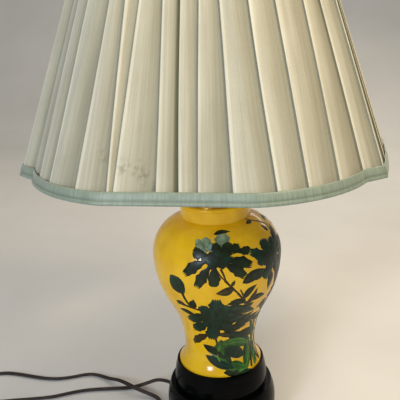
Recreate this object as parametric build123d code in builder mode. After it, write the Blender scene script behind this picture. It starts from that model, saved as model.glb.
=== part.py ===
from build123d import *
import os
from math import cos, radians, sin, sqrt, tan

# Ceramic table lamp: turned base, glazed vase, harp, socket, pleated shade and flex.
# Millimetres, +Z up, origin on the table under the lamp's axis, the shade's front panel towards -Y.

os.makedirs("parts", exist_ok=True)

# Clearances
seat_gap = 0.1          # between flat faces of pieces that move apart
running_gap = 0.08      # radial, shaft in its hole
slip_gap = 0.3          # radial, loose fits
rod_gap = 0.2           # radial, threaded tube in what it clamps

# Turned wood base
felt_thickness = 2.0
felt_inset = 2.0
base_height = 76.0
base_foot_radius = 60.0
bulge_radius = 64.8
bulge_height = 26.0
collar_height = 47.0
collar_radius = 55.0
collar_bow = 1.2          # how far the collar's side swells past a straight line
step_width = 5.2
rim_wall = 2.6
seat_depth = 6.0
deck_thickness = 14.0
base_wall = 18.0

# Vase
vase_foot_radius = 48.2
foot_ring_height = 7.0
waist_radius = 40.6
waist_rise = 25.0
flank_radius = 57.0
flank_rise = 80.0
belly_radius = 72.4
belly_rise = 137.0
vase_shoulder_radius = 57.1
vase_shoulder_drop = 9.0
neck_radius = 39.0
neck_rise = 179.5
lip_radius = 41.0
neck_height = 17.5
lip_height = 4.6
vase_wall = 5.0
vase_floor = 7.0
gasket_thickness = 1.5
gasket_width = 14.0

# Threaded tube and what it clamps
rod_radius = 5.0
rod_bore_radius = 3.3
rod_below = 2.0
rod_above = 4.0
washer_radius = 17.0
washer_thickness = 2.0
base_nut_height = 6.0
nut_across_flats = 17.0
cap_radius = 36.4
cap_edge = 1.8
cap_rise = 9.0
cap_skirt = 6.0
cap_dome_radius = 27.0
cap_dome_rise = 5.6
neck_tube_radius = 9.5
neck_tube_height = 20.0

# Harp
saddle_thickness = 2.2
saddle_width = 18.0
harp_foot_half = 32.0
harp_half_width = 57.0
harp_height = 250.8
harp_wire_radius = 2.0
harp_crown_half = 14.0
peg_height = 12.0
harp_leg = 36.0
harp_flare = 50.0
harp_straight = 62.0
harp_foot_bend = 34.0
harp_side_bend = 60.0
harp_crown_bend = 17.0
ferrule_radius = 4.2
ferrule_length = 16.0
saddle_nut_height = 5.0
stud_disc_radius = 9.0
stud_disc_thickness = 2.0
stud_radius = 3.175
stud_length = 18.0

# Socket and switch
bulb_base_radius = 13.0
screw_shell_wall = 0.5
liner_gap = 0.4
liner_wall = 0.6
shell_wall = 0.8
socket_cap_wall = 0.9
socket_cap_height = 22.0
socket_cone_rise = 12.0
socket_hub_radius = 8.5
socket_hub_height = 4.0
shell_overlap = 5.0
socket_body_rise = 21.0
socket_body_height = 16.0
screw_shell_height = 25.0
shell_bead = 1.2
contact_radius = 4.0
contact_thickness = 1.5
terminal_radius = 2.6
terminal_length = 3.0
terminal_drop = 5.0
switch_drop = 8.0
switch_boss_radius = 5.0
switch_boss_reach = 23.0
stem_radius = 2.4
stem_depth = 8.0
stem_length = 30.0
knob_radius = 6.0
knob_length = 15.0
knob_waist = 4.0
knob_neck_length = 5.0

# Bulb
bulb_tip_radius = 4.6
bulb_tip_height = 1.6
bulb_cone_height = 3.4
bulb_base_height = 20.5
bulb_radius = 30.0
bulb_centre_rise = 53.0
bulb_glass_wall = 1.0
stem_glass_radius = 5.0
stem_tip_radius = 2.5
stem_glass_height = 34.0
filament_half = 11.0
filament_radius = 0.6

# Shade: the plan of its bottom edge, as reaches from the axis and the angles where they lie
front_reach = 204.0     # middle of the front and back panels
bend_out = 10.2         # further out where the panel's end begins to round
round_out = 7.4         # further out half way round the end
notch_in = 3.8          # further in at the fold beside the side panel
side_reach = 179.0      # middle of the two side panels
step_out = 26.8         # further out at the ends of a side panel
bend_angle = 17.5
round_angle = 36.6
notch_angle = 49.4
step_turn = 6.5         # angle from the fold to the end of the side panel
front_top_reach = 116.5
shade_height = 238.3
spider_drop = 10.4
front_pleats = 11
side_pleats = 8
pleat_depth = 3.0
pleat_top_depth = 2.0
fold_turn = 0.6         # angle a fold takes to step out
cloth_thickness = 0.8
layer_gap = 0.2
wire_diameter = 3.2
lining_thickness = 0.7
binding_thickness = 1.0
binding_height = 11.0
binding_room = 0.5      # how far the binding stands off the crests
hub_radius = 12.0
hub_thickness = 2.0
spider_arms = 4
arm_slot = 0.6
fold_room = 1.2         # how far the straight pleats stand inside the rounded plan

# Finial
finial_radius = 8.0
finial_height = 33.0
finial_foot_height = 3.3
finial_neck_low = 7.3
finial_neck_high = 9.9
finial_ball_rise = 18.5
finial_ball_top = 27.1
finial_foot_radius = 6.4
finial_neck_radius = 4.6
finial_tip_radius = 2.6

# Flex: twin flex as a round tube of its width
flex_radius = 2.8
flex_height = 12.0
flex_angle = 155.0
flex_bend = 28.0
flex_bore_gap = 0.15
flex_end_rise = 7.0
flex_lead = 18.0        # straight run out of the bushing
flex_ramp = 3.0         # how far the flex has risen just before it crosses itself
flex_crossing = 14.1    # the corner points' height over the lower strand
bend_share = 0.45       # share of the shorter run that a bend takes up
bushing_radius = 6.0
bushing_flange_radius = 8.3
bushing_flange = 4.0
flange_seat = 58.0
bushing_nose = 16.0
bushing_nose_radius = 4.4
bushing_inner = 3.0

# Coil of the flex that lies outside the picture, and its tie
coil_centre_x = -112.0
coil_centre_y = -72.0
coil_radius = 40.0
coil_gap = 0.6
coil_turns = 3
coil_approach = 26.0
tail_lead = 20.0
tail_turn_x = 5.0
tail_turn_y = 36.0
tail_end_x = 15.0
tail_end_y = 49.0
tie_thickness = 0.8
tie_width = 4.0
tie_gap = 0.4

# Plug
plug_nose = 14.0
plug_nose_radius = 4.6
plug_shoulder_radius = 6.7
plug_length = 26.0
plug_width = 25.0
plug_height = 17.4
plug_corner = 4.0
blade_width = 6.3
blade_thickness = 1.5
blade_length = 17.0
blade_root = 5.0
blade_spacing = 12.7

# Heights that follow from the sizes above
seat_z = base_height - seat_depth
deck_z = seat_z - deck_thickness
vase_foot_z = seat_z + gasket_thickness
neck_z = base_height + neck_rise
lip_top = neck_z + neck_height
cap_top = lip_top + cap_rise
saddle_z = cap_top + neck_tube_height
saddle_top = saddle_z + saddle_thickness
peg_top = saddle_top + peg_height
harp_top = saddle_top + harp_height
stud_disc_top = harp_top + stud_disc_thickness
hub_z = stud_disc_top + seat_gap
hub_top = hub_z + hub_thickness
shade_top = hub_z + hub_thickness / 2 + spider_drop
shade_bottom = shade_top - shade_height
socket_z = saddle_top + saddle_nut_height
socket_cap_top = socket_z + socket_cap_height
socket_body_z = socket_z + socket_body_rise
socket_body_top = socket_body_z + socket_body_height
screw_shell_top = socket_body_top + screw_shell_height
contact_top = socket_body_top + contact_thickness
switch_z = socket_body_top - switch_drop
bulb_z = contact_top + slip_gap
bulb_base_z = bulb_z + bulb_tip_height + bulb_cone_height
bulb_base_top = bulb_base_z + bulb_base_height
bulb_centre_z = bulb_base_top + bulb_centre_rise
rod_z = deck_z - washer_thickness - base_nut_height - rod_below
rod_top = socket_z + socket_hub_height + rod_above

# Radii that follow
rod_hole_radius = rod_radius + rod_gap
cavity_radius = bulge_radius - base_wall
seat_radius = vase_foot_radius + slip_gap
rim_radius = seat_radius + rim_wall
mouth_radius = neck_radius - vase_wall
screw_shell_inner = bulb_base_radius + slip_gap
screw_shell_outer = screw_shell_inner + screw_shell_wall
liner_inner = screw_shell_outer + liner_gap
liner_outer = liner_inner + liner_wall
shell_inner = liner_outer + layer_gap
shell_outer = shell_inner + shell_wall
socket_cap_inner = shell_outer + layer_gap
socket_cap_outer = socket_cap_inner + socket_cap_wall
flex_hole_radius = flex_radius + flex_bore_gap
ferrule_bore = harp_wire_radius + running_gap

# Depths of the shade's layers behind the pleats' crests
frame_inset = pleat_depth + cloth_thickness + fold_room
lining_inset = frame_inset + wire_diameter + layer_gap
lining_back = lining_inset + lining_thickness
cloth_bottom = shade_bottom + binding_thickness + seat_gap
cloth_top = shade_top - binding_thickness - seat_gap


def tube(bottom, top, outer, inner=0.0, mode=Mode.ADD):
    """A disc or a ring about the lamp's axis."""
    with BuildSketch(Plane.XY.offset(bottom)) as section:
        Circle(outer)
        if inner > 0:
            Circle(inner, mode=Mode.SUBTRACT)
    extrude(section.sketch, amount=top - bottom, mode=mode)


def turned(points, mode=Mode.ADD):
    """A turned piece: an outline of (radius, height) points about the lamp's axis."""
    with BuildSketch(Plane.XZ) as section:
        with BuildLine():
            Polyline(*points, close=True)
        make_face()
    revolve(section.sketch, Axis.Z, mode=mode)


def hex_nut(bottom, top):
    """A hex nut on the threaded tube."""
    with BuildSketch(Plane.XY.offset(bottom)) as section:
        RegularPolygon(nut_across_flats / 2, 6, major_radius=False)
        Circle(rod_hole_radius, mode=Mode.SUBTRACT)
    extrude(section.sketch, amount=top - bottom)


def bored_along(plane, start, end, radius, mode=Mode.SUBTRACT):
    """A round bore or bar along a plane's normal, from start to end."""
    with BuildSketch(plane.offset(start)) as section:
        Circle(radius)
    extrude(section.sketch, amount=end - start, mode=mode)


# Turned base: bulge, ledge and swelling collar outside, a seat for the vase and a hollow below
exit_way = Vector(cos(radians(flex_angle)), sin(radians(flex_angle)), 0)
exit_plane = Plane(origin=(0, 0, flex_height), x_dir=(0, 0, 1), z_dir=exit_way)
nose_end = flange_seat + bushing_flange + bushing_nose

with BuildPart() as wood_base:
    with BuildSketch(Plane.XZ):
        with BuildLine():
            foot = Line((cavity_radius, felt_thickness), (base_foot_radius, felt_thickness))
            bulge = ThreePointArc(
                foot @ 1, (bulge_radius, bulge_height), (collar_radius + step_width, collar_height)
            )
            ledge = Line(bulge @ 1, (collar_radius, collar_height))
            collar = ThreePointArc(
                ledge @ 1,
                ((collar_radius + rim_radius) / 2 + collar_bow, (collar_height + base_height) / 2),
                (rim_radius, base_height),
            )
            Polyline(
                collar @ 1,
                (seat_radius, base_height),
                (seat_radius, seat_z),
                (rod_hole_radius, seat_z),
                (rod_hole_radius, deck_z),
                (cavity_radius, deck_z),
                foot @ 0,
            )
        make_face()
    revolve(axis=Axis.Z)
    bored_along(exit_plane, cavity_radius / 2, bulge_radius, bushing_radius + slip_gap)
    bored_along(exit_plane, flange_seat, bulge_radius + slip_gap, bushing_flange_radius + slip_gap)
wood_base.part.label = "wood_base"
export_step(wood_base.part, "parts/wood_base.step")

with BuildPart() as felt_pad:
    tube(0, felt_thickness, base_foot_radius - felt_inset)
felt_pad.part.label = "felt_pad"
export_step(felt_pad.part, "parts/felt_pad.step")

with BuildPart() as cord_bushing:
    bored_along(exit_plane, cavity_radius - bushing_inner, flange_seat, bushing_radius, Mode.ADD)
    bored_along(exit_plane, flange_seat, flange_seat + bushing_flange, bushing_flange_radius, Mode.ADD)
    with BuildSketch(exit_plane.offset(flange_seat + bushing_flange)):
        Circle(bushing_radius)
    with BuildSketch(exit_plane.offset(nose_end)):
        Circle(bushing_nose_radius)
    loft()
    bored_along(exit_plane, cavity_radius / 2, nose_end + bushing_nose, flex_hole_radius)
cord_bushing.part.label = "cord_bushing"
export_step(cord_bushing.part, "parts/cord_bushing.step")

with BuildPart() as base_washer:
    tube(deck_z - washer_thickness, deck_z, washer_radius, rod_hole_radius)
base_washer.part.label = "base_washer"
export_step(base_washer.part, "parts/base_washer.step")

with BuildPart() as base_nut:
    hex_nut(deck_z - washer_thickness - base_nut_height, deck_z - washer_thickness)
base_nut.part.label = "base_nut"
export_step(base_nut.part, "parts/base_nut.step")

with BuildPart() as threaded_rod:
    tube(rod_z, rod_top, rod_radius, rod_bore_radius)
threaded_rod.part.label = "threaded_rod"
export_step(threaded_rod.part, "parts/threaded_rod.step")

with BuildPart() as seat_gasket:
    tube(seat_z, vase_foot_z, vase_foot_radius - slip_gap, vase_foot_radius - gasket_width)
seat_gasket.part.label = "seat_gasket"
export_step(seat_gasket.part, "parts/seat_gasket.step")

# Baluster vase: flared foot, narrow waist, high belly, short upright neck with a rolled lip
foot_top_z = vase_foot_z + foot_ring_height
waist_z = base_height + waist_rise
flank_z = base_height + flank_rise
belly_z = base_height + belly_rise
shoulder_z = neck_z - vase_shoulder_drop
floor_z = vase_foot_z + vase_floor
floor_radius = vase_foot_radius - 2 * vase_wall
with BuildPart() as vase_body:
    with BuildSketch(Plane.XZ):
        with BuildLine():
            flank = TangentArc((belly_radius, belly_z), (flank_radius, flank_z), tangent=(0, -1))
            waist = TangentArc(flank @ 1, (waist_radius, waist_z), tangent=flank % 1)
            flare = TangentArc(waist @ 1, (vase_foot_radius, foot_top_z), tangent=waist % 1)
            shoulder = TangentArc(flank @ 0, (vase_shoulder_radius, shoulder_z), tangent=(0, 1))
            crown = TangentArc(shoulder @ 1, (neck_radius, neck_z), tangent=shoulder % 1)
            neck = Line(crown @ 1, (neck_radius, lip_top - lip_height))
            lip = ThreePointArc(
                neck @ 1, (lip_radius, lip_top - lip_height / 2), (neck_radius, lip_top)
            )
            mouth = Polyline(
                lip @ 1, (mouth_radius, lip_top), (mouth_radius, neck_z - vase_wall)
            )
            inner_crown = TangentArc(
                (belly_radius - vase_wall, belly_z), mouth @ 1, tangent=(0, 1)
            )
            inner_flank = TangentArc(
                inner_crown @ 0, (flank_radius - vase_wall, flank_z), tangent=(0, -1)
            )
            inner_waist = TangentArc(
                inner_flank @ 1, (floor_radius, floor_z), tangent=inner_flank % 1
            )
            Polyline(
                inner_waist @ 1,
                (rod_hole_radius + slip_gap, floor_z),
                (rod_hole_radius + slip_gap, vase_foot_z),
                (vase_foot_radius, vase_foot_z),
                flare @ 1,
            )
        make_face()
    revolve(axis=Axis.Z)
vase_body.part.label = "vase_body"
export_step(vase_body.part, "parts/vase_body.step")

# Spun brass cap over the vase's mouth, with a skirt that centres it
with BuildPart() as vase_cap:
    turned(
        [
            (rod_hole_radius, cap_top),
            (neck_tube_radius, cap_top),
            (cap_dome_radius, lip_top + cap_dome_rise),
            (cap_radius, lip_top + cap_edge),
            (cap_radius, lip_top),
            (mouth_radius - slip_gap, lip_top),
            (mouth_radius - slip_gap, lip_top - cap_skirt),
            (mouth_radius - slip_gap - cap_edge, lip_top - cap_skirt),
            (mouth_radius - slip_gap - cap_edge, lip_top + cap_edge),
            (rod_hole_radius, cap_top - cap_edge),
        ]
    )
vase_cap.part.label = "vase_cap"
export_step(vase_cap.part, "parts/vase_cap.step")

with BuildPart() as neck_tube:
    tube(cap_top, saddle_z, neck_tube_radius, rod_hole_radius)
neck_tube.part.label = "neck_tube"
export_step(neck_tube.part, "parts/neck_tube.step")

with BuildPart() as harp_saddle:
    with BuildSketch(Plane.XY.offset(saddle_z)):
        SlotCenterToCenter(2 * harp_foot_half, saddle_width)
        Circle(rod_hole_radius, mode=Mode.SUBTRACT)
    extrude(amount=saddle_thickness)
    with BuildSketch(Plane.XY.offset(saddle_top)):
        with Locations((harp_foot_half, 0), (-harp_foot_half, 0)):
            Circle(harp_wire_radius)
    extrude(amount=peg_height)
harp_saddle.part.label = "harp_saddle"
export_step(harp_saddle.part, "parts/harp_saddle.step")

with BuildPart() as saddle_nut:
    hex_nut(saddle_top, socket_z)
saddle_nut.part.label = "saddle_nut"
export_step(saddle_nut.part, "parts/saddle_nut.step")

# Socket: brass cap and shell, card liner, moulded body, screw shell, contact and terminals
with BuildPart() as socket_cap:
    turned(
        [
            (rod_hole_radius, socket_z),
            (socket_hub_radius, socket_z),
            (socket_hub_radius, socket_z + socket_hub_height),
            (socket_cap_outer, socket_z + socket_cone_rise),
            (socket_cap_outer, socket_cap_top),
            (socket_cap_inner, socket_cap_top),
            (socket_cap_inner, socket_z + socket_cone_rise + socket_cap_wall),
            (socket_hub_radius, socket_z + socket_hub_height + 2 * socket_cap_wall),
            (rod_hole_radius, socket_z + socket_hub_height + 2 * socket_cap_wall),
        ]
    )
socket_cap.part.label = "socket_cap"
export_step(socket_cap.part, "parts/socket_cap.step")

switch_plane = Plane(origin=(0, 0, switch_z), x_dir=(1, 0, 0), z_dir=(0, -1, 0))
with BuildPart() as socket_shell:
    tube(socket_cap_top - shell_overlap, screw_shell_top, shell_outer, shell_inner)
    tube(screw_shell_top, screw_shell_top + shell_bead, shell_outer + shell_bead, screw_shell_outer)
    bored_along(switch_plane, liner_inner / 2, switch_boss_reach, switch_boss_radius + slip_gap)
socket_shell.part.label = "socket_shell"
export_step(socket_shell.part, "parts/socket_shell.step")

with BuildPart() as socket_liner:
    tube(socket_body_z, screw_shell_top - seat_gap, liner_outer, liner_inner)
    bored_along(switch_plane, liner_inner / 2, switch_boss_reach, switch_boss_radius + slip_gap)
socket_liner.part.label = "socket_liner"
export_step(socket_liner.part, "parts/socket_liner.step")

terminal_z = socket_body_z + terminal_drop
terminal_plane = Plane(origin=(0, 0, terminal_z), x_dir=(0, 1, 0), z_dir=(1, 0, 0))
terminal_seat = screw_shell_outer - terminal_length
with BuildPart() as socket_body:
    tube(socket_body_z, socket_body_top, screw_shell_outer)
    bored_along(switch_plane, liner_inner / 2, switch_boss_reach, switch_boss_radius, Mode.ADD)
    bored_along(switch_plane, stem_depth, switch_boss_reach, stem_radius + running_gap)
    for plane in (terminal_plane, terminal_plane.rotated((0, 180, 0))):
        bored_along(plane, terminal_seat, liner_inner, terminal_radius + slip_gap)
socket_body.part.label = "socket_body"
export_step(socket_body.part, "parts/socket_body.step")

with BuildPart() as terminal_screws:
    for plane in (terminal_plane, terminal_plane.rotated((0, 180, 0))):
        bored_along(plane, terminal_seat, screw_shell_outer, terminal_radius, Mode.ADD)
terminal_screws.part.label = "terminal_screws"
export_step(terminal_screws.part, "parts/terminal_screws.step")

with BuildPart() as screw_shell:
    tube(socket_body_top, screw_shell_top, screw_shell_outer, screw_shell_inner)
screw_shell.part.label = "screw_shell"
export_step(screw_shell.part, "parts/screw_shell.step")

with BuildPart() as centre_contact:
    tube(socket_body_top, contact_top, contact_radius)
centre_contact.part.label = "centre_contact"
export_step(centre_contact.part, "parts/centre_contact.step")

# Turn switch: stem in the body's boss, knob on the stem
stem_start = stem_depth + seat_gap
knob_start = switch_boss_reach + slip_gap
with BuildPart() as switch_stem:
    bored_along(switch_plane, stem_start, stem_start + stem_length, stem_radius, Mode.ADD)
switch_stem.part.label = "switch_stem"
export_step(switch_stem.part, "parts/switch_stem.step")

with BuildPart() as switch_knob:
    bored_along(switch_plane, knob_start, knob_start + knob_neck_length, knob_waist, Mode.ADD)
    with BuildSketch(switch_plane.offset(knob_start + knob_neck_length)):
        Circle(knob_waist)
    with BuildSketch(switch_plane.offset(knob_start + knob_length)):
        Circle(knob_radius)
    loft()
    bored_along(switch_plane, knob_start, stem_start + stem_length, stem_radius)
switch_knob.part.label = "switch_knob"
export_step(switch_knob.part, "parts/switch_knob.step")

# Bulb: tip, insulating cone, screw base, glass and the mount inside it
with BuildPart() as bulb_contact:
    tube(bulb_z, bulb_z + bulb_tip_height, bulb_tip_radius)
bulb_contact.part.label = "bulb_contact"
export_step(bulb_contact.part, "parts/bulb_contact.step")

with BuildPart() as bulb_insulator:
    with BuildSketch(Plane.XY.offset(bulb_z + bulb_tip_height)):
        Circle(bulb_tip_radius)
    with BuildSketch(Plane.XY.offset(bulb_base_z)):
        Circle(bulb_base_radius - screw_shell_wall)
    loft()
bulb_insulator.part.label = "bulb_insulator"
export_step(bulb_insulator.part, "parts/bulb_insulator.step")

with BuildPart() as bulb_base:
    tube(bulb_base_z, bulb_base_top, bulb_base_radius, bulb_base_radius - bulb_glass_wall)
    tube(bulb_base_z, bulb_base_z + bulb_glass_wall, bulb_base_radius)
bulb_base.part.label = "bulb_base"
export_step(bulb_base.part, "parts/bulb_base.step")

bulb_top = bulb_centre_z + bulb_radius
with BuildPart() as bulb_glass:
    with BuildSketch(Plane.XZ):
        with BuildLine():
            outer_glass = Spline(
                (bulb_base_radius, bulb_base_top),
                (bulb_radius, bulb_centre_z),
                (0, bulb_top),
                tangents=[(0, 1), (-1, 0)],
            )
            inner_glass = Spline(
                (0, bulb_top - bulb_glass_wall),
                (bulb_radius - bulb_glass_wall, bulb_centre_z),
                (bulb_base_radius - bulb_glass_wall, bulb_base_top),
                tangents=[(1, 0), (0, -1)],
            )
            Line(outer_glass @ 1, inner_glass @ 0)
            Line(inner_glass @ 1, outer_glass @ 0)
        make_face()
    revolve(axis=Axis.Z)
bulb_glass.part.label = "bulb_glass"
export_step(bulb_glass.part, "parts/bulb_glass.step")

stem_glass_z = bulb_base_z + bulb_glass_wall
stem_glass_top = bulb_base_top + stem_glass_height
with BuildPart() as bulb_filament:
    tube(stem_glass_z, stem_glass_top, stem_tip_radius)
    tube(stem_glass_z, bulb_base_top, stem_glass_radius)
    with BuildSketch(Plane.YZ.offset(-filament_half)):
        with Locations((0, stem_glass_top - filament_radius)):
            Circle(filament_radius)
    extrude(amount=2 * filament_half)
bulb_filament.part.label = "bulb_filament"
export_step(bulb_filament.part, "parts/bulb_filament.step")

# Harp: one bent wire from peg to peg, with a ferrule over each joint and a stud on the crown
harp_foot = peg_top + layer_gap
harp_crown = harp_top - harp_wire_radius
harp_side = [
    (harp_foot_half, harp_foot),
    (harp_foot_half, harp_foot + harp_leg),
    (harp_half_width, harp_foot + harp_leg + harp_flare),
    (harp_half_width, harp_foot + harp_leg + harp_flare + harp_straight),
    (harp_crown_half, harp_crown),
]
harp_line = harp_side + [(-x, z) for x, z in reversed(harp_side)]
side_bends = [harp_foot_bend, harp_side_bend, harp_side_bend, harp_crown_bend]
with BuildPart() as harp_wire:
    with BuildLine(Plane.XZ) as harp_path:
        FilletPolyline(*harp_line, radius=side_bends + side_bends[::-1])
    with BuildSketch(Plane.XY.offset(harp_foot)):
        with Locations((harp_foot_half, 0)):
            Circle(harp_wire_radius)
    sweep(path=harp_path.wire())
harp_wire.part.label = "harp_wire"
export_step(harp_wire.part, "parts/harp_wire.step")

with BuildPart() as harp_stud:
    tube(harp_top, stud_disc_top, stud_disc_radius)
    tube(stud_disc_top, stud_disc_top + stud_length, stud_radius)
harp_stud.part.label = "harp_stud"
export_step(harp_stud.part, "parts/harp_stud.step")

for name, side in (("harp_ferrule_left", -1), ("harp_ferrule_right", 1)):
    with BuildPart() as harp_ferrule:
        with BuildSketch(Plane.XY.offset(saddle_top + seat_gap)):
            with Locations((side * harp_foot_half, 0)):
                Circle(ferrule_radius)
                Circle(ferrule_bore, mode=Mode.SUBTRACT)
        extrude(amount=ferrule_length)
    harp_ferrule.part.label = name
    export_step(harp_ferrule.part, f"parts/{name}.step")


# Shade: flat front and back panels with rounded ends, and side panels that stand out beside them
step_angle = notch_angle + step_turn
bend_reach = front_reach + bend_out
round_reach = front_reach + round_out
notch_reach = front_reach - notch_in
step_reach = side_reach + step_out
plan_stations = [
    (-notch_angle, notch_reach),
    (-round_angle, round_reach),
    (-bend_angle, bend_reach),
    (0, front_reach),
    (bend_angle, bend_reach),
    (round_angle, round_reach),
    (notch_angle, notch_reach),
    (step_angle, step_reach),
    (90, side_reach),
    (180 - step_angle, step_reach),
    (180 - notch_angle, notch_reach),
]
plan_arcs = [plan_stations[0:3], plan_stations[2:5], plan_stations[4:7], plan_stations[7:10]]
plan_steps = [plan_stations[6:8], plan_stations[9:11]]


def plan_point(angle, reach):
    """A point at an angle from the front and a reach from the axis."""
    return (reach * sin(radians(angle)), -reach * cos(radians(angle)))


def shade_taper(height):
    """How wide the shade is at a height, against its bottom edge."""
    return 1 - (1 - front_top_reach / front_reach) * (height - shade_bottom) / shade_height


def shade_point(angle, reach, height, inset):
    """A point of the shade's plan at a height, a depth behind the pleats' crests."""
    return plan_point(angle, reach * shade_taper(height) - inset)


def arc_reach(angle, stations):
    """The reach at an angle of the arc through three stations."""
    (ax, ay), (bx, by), (cx, cy) = [plan_point(turn, reach) for turn, reach in stations]
    a, b, c = [reach ** 2 for turn, reach in stations]
    twice = 2 * (ax * (by - cy) + bx * (cy - ay) + cx * (ay - by))
    x = (a * (by - cy) + b * (cy - ay) + c * (ay - by)) / twice
    y = (a * (cx - bx) + b * (ax - cx) + c * (bx - ax)) / twice
    ray_x, ray_y = plan_point(angle, 1)
    along = ray_x * x + ray_y * y
    half = sqrt(along ** 2 - x ** 2 - y ** 2 + (ax - x) ** 2 + (ay - y) ** 2)
    middle = stations[1][1]
    return min((along + half, along - half), key=lambda reach: abs(reach - middle))


def plan_reach(angle):
    """The reach of the smooth plan at an angle from the front."""
    turn = (angle + notch_angle) % 180 - notch_angle
    for arc in plan_arcs:
        if arc[0][0] <= turn <= arc[2][0]:
            return arc_reach(turn, arc)
    (start, near), (stop, far) = next(step for step in plan_steps if step[0][0] <= turn <= step[1][0])
    return near + (far - near) * (turn - start) / (stop - start)


def shade_outline(height, inset):
    """The smooth plan at a height."""
    for turn in (0, 180):
        points = [shade_point(turn + a, reach, height, inset) for a, reach in plan_stations]
        ThreePointArc(*points[0:3])
        ThreePointArc(*points[2:5])
        ThreePointArc(*points[4:7])
        Line(*points[6:8])
        ThreePointArc(*points[7:10])
        Line(*points[9:11])


def panel_folds(start, stop, pleats):
    """The folds of a panel: the angle of each and how far it is to the next."""
    width = (stop - start) / pleats
    return [(start + k * width, width) for k in range(pleats)]


def pleat_outline(height, inset):
    """The pleated plan at a height: each pleat steps out at its fold and falls back to the next."""
    depth = pleat_depth + (pleat_top_depth - pleat_depth) * (height - shade_bottom) / shade_height
    folds = panel_folds(-notch_angle, notch_angle, front_pleats)
    folds.append((notch_angle, step_turn))
    folds += panel_folds(step_angle, 180 - step_angle, side_pleats)
    folds.append((180 - step_angle, step_turn))
    points = []
    for turn in (0, 180):
        for fold, span in folds:
            crest = turn + fold
            valley = crest + span - fold_turn
            points.append(shade_point(crest, plan_reach(crest), height, inset))
            points.append(shade_point(valley, plan_reach(valley), height, inset + depth))
    Polyline(*points, close=True)


def shade_loft(outline, low, high, inset, mode=Mode.ADD):
    """A straight-sided solid between two heights, inside one of the shade's outlines."""
    sections = []
    for height in (low, high):
        with BuildSketch(Plane.XY.offset(height)) as section:
            with BuildLine():
                outline(height, inset)
            make_face()
        sections.append(section.sketch.face())
    loft(sections, ruled=True, mode=mode)


def shade_wall(low, high, front, back):
    """A closed band of the shade, from one depth behind the crests to another."""
    shade_loft(shade_outline, low, high, front)
    shade_loft(shade_outline, low - binding_thickness, high + binding_thickness, back, Mode.SUBTRACT)


def shade_binding(low, high, cloth_low, cloth_high):
    """Binding folded over an edge of the shade, with room for the cloth between its two sides."""
    over = binding_thickness
    shade_loft(shade_outline, low, high, -binding_room - over)
    shade_loft(shade_outline, cloth_low, cloth_high, -binding_room, Mode.SUBTRACT)
    shade_loft(shade_outline, low, high, lining_back + layer_gap)
    shade_loft(shade_outline, low - over, high + over, lining_back + layer_gap + over, Mode.SUBTRACT)


ring_low = cloth_bottom + layer_gap
ring_high = cloth_top - layer_gap - wire_diameter
arm_z = ring_high + wire_diameter / 2
arm_radius = wire_diameter / 2
arm_turns = [360 * k / spider_arms for k in range(spider_arms)]
arm_taper = shade_taper(ring_high + wire_diameter)
arm_inset = frame_inset + wire_diameter + seat_gap


def arm_end(turn):
    """How far from the axis the spider's arm ends, just short of the top ring."""
    return plan_reach(turn + 90) * arm_taper - arm_inset


def arm_slots(low):
    """Slots in the cloth and binding where the spider's arms reach the top ring."""
    width = wire_diameter + 2 * arm_slot
    middle = (low + cloth_top) / 2
    for turn in arm_turns:
        with Locations(Location((0, 0, middle), (0, 0, turn))):
            with Locations((arm_end(turn), 0, 0)):
                Box(2 * lining_back, width, cloth_top - low, mode=Mode.SUBTRACT)


with BuildPart() as shade_pleats:
    shade_loft(pleat_outline, cloth_bottom, cloth_top, 0)
    shade_loft(
        pleat_outline, cloth_bottom - cloth_thickness, cloth_top + cloth_thickness,
        cloth_thickness, Mode.SUBTRACT,
    )
shade_pleats.part.label = "shade_pleats"
export_step(shade_pleats.part, "parts/shade_pleats.step")

slot_low = arm_z - arm_radius - arm_slot
with BuildPart() as shade_lining:
    shade_wall(cloth_bottom, cloth_top, lining_inset, lining_back)
    arm_slots(slot_low)
shade_lining.part.label = "shade_lining"
export_step(shade_lining.part, "parts/shade_lining.step")

with BuildPart() as shade_bottom_binding:
    edge = shade_bottom + binding_height
    shade_binding(shade_bottom, edge, shade_bottom + binding_thickness, edge + binding_thickness)
shade_bottom_binding.part.label = "shade_bottom_binding"
export_step(shade_bottom_binding.part, "parts/shade_bottom_binding.step")

with BuildPart() as shade_top_binding:
    edge = shade_top - binding_height
    shade_binding(edge, shade_top, edge - binding_thickness, shade_top - binding_thickness)
    arm_slots(edge - binding_thickness)
shade_top_binding.part.label = "shade_top_binding"
export_step(shade_top_binding.part, "parts/shade_top_binding.step")

with BuildPart() as shade_bottom_ring:
    shade_wall(ring_low, ring_low + wire_diameter, frame_inset, frame_inset + wire_diameter)
shade_bottom_ring.part.label = "shade_bottom_ring"
export_step(shade_bottom_ring.part, "parts/shade_bottom_ring.step")

with BuildPart() as shade_top_ring:
    shade_wall(ring_high, ring_high + wire_diameter, frame_inset, frame_inset + wire_diameter)
shade_top_ring.part.label = "shade_top_ring"
export_step(shade_top_ring.part, "parts/shade_top_ring.step")

# Upright wires: one behind the middle of each panel and one behind each fold between panels
rib_low = ring_low + wire_diameter
rib_inset = frame_inset + wire_diameter / 2
rib_angles = [-notch_angle, 0, notch_angle, 90]
with BuildPart() as shade_ribs:
    for half in (0, 180):
        for angle in rib_angles:
            turn = half + angle
            ends = []
            for height in (rib_low, ring_high):
                with BuildSketch(Plane.XY.offset(height), mode=Mode.PRIVATE) as rib_end:
                    with Locations(shade_point(turn, plan_reach(turn), height, rib_inset)):
                        Circle(wire_diameter / 2 - layer_gap / 2)
                ends.append(rib_end.sketch.face())
            loft(ends, ruled=True)
shade_ribs.part.label = "shade_ribs"
export_step(shade_ribs.part, "parts/shade_ribs.step")

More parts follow.
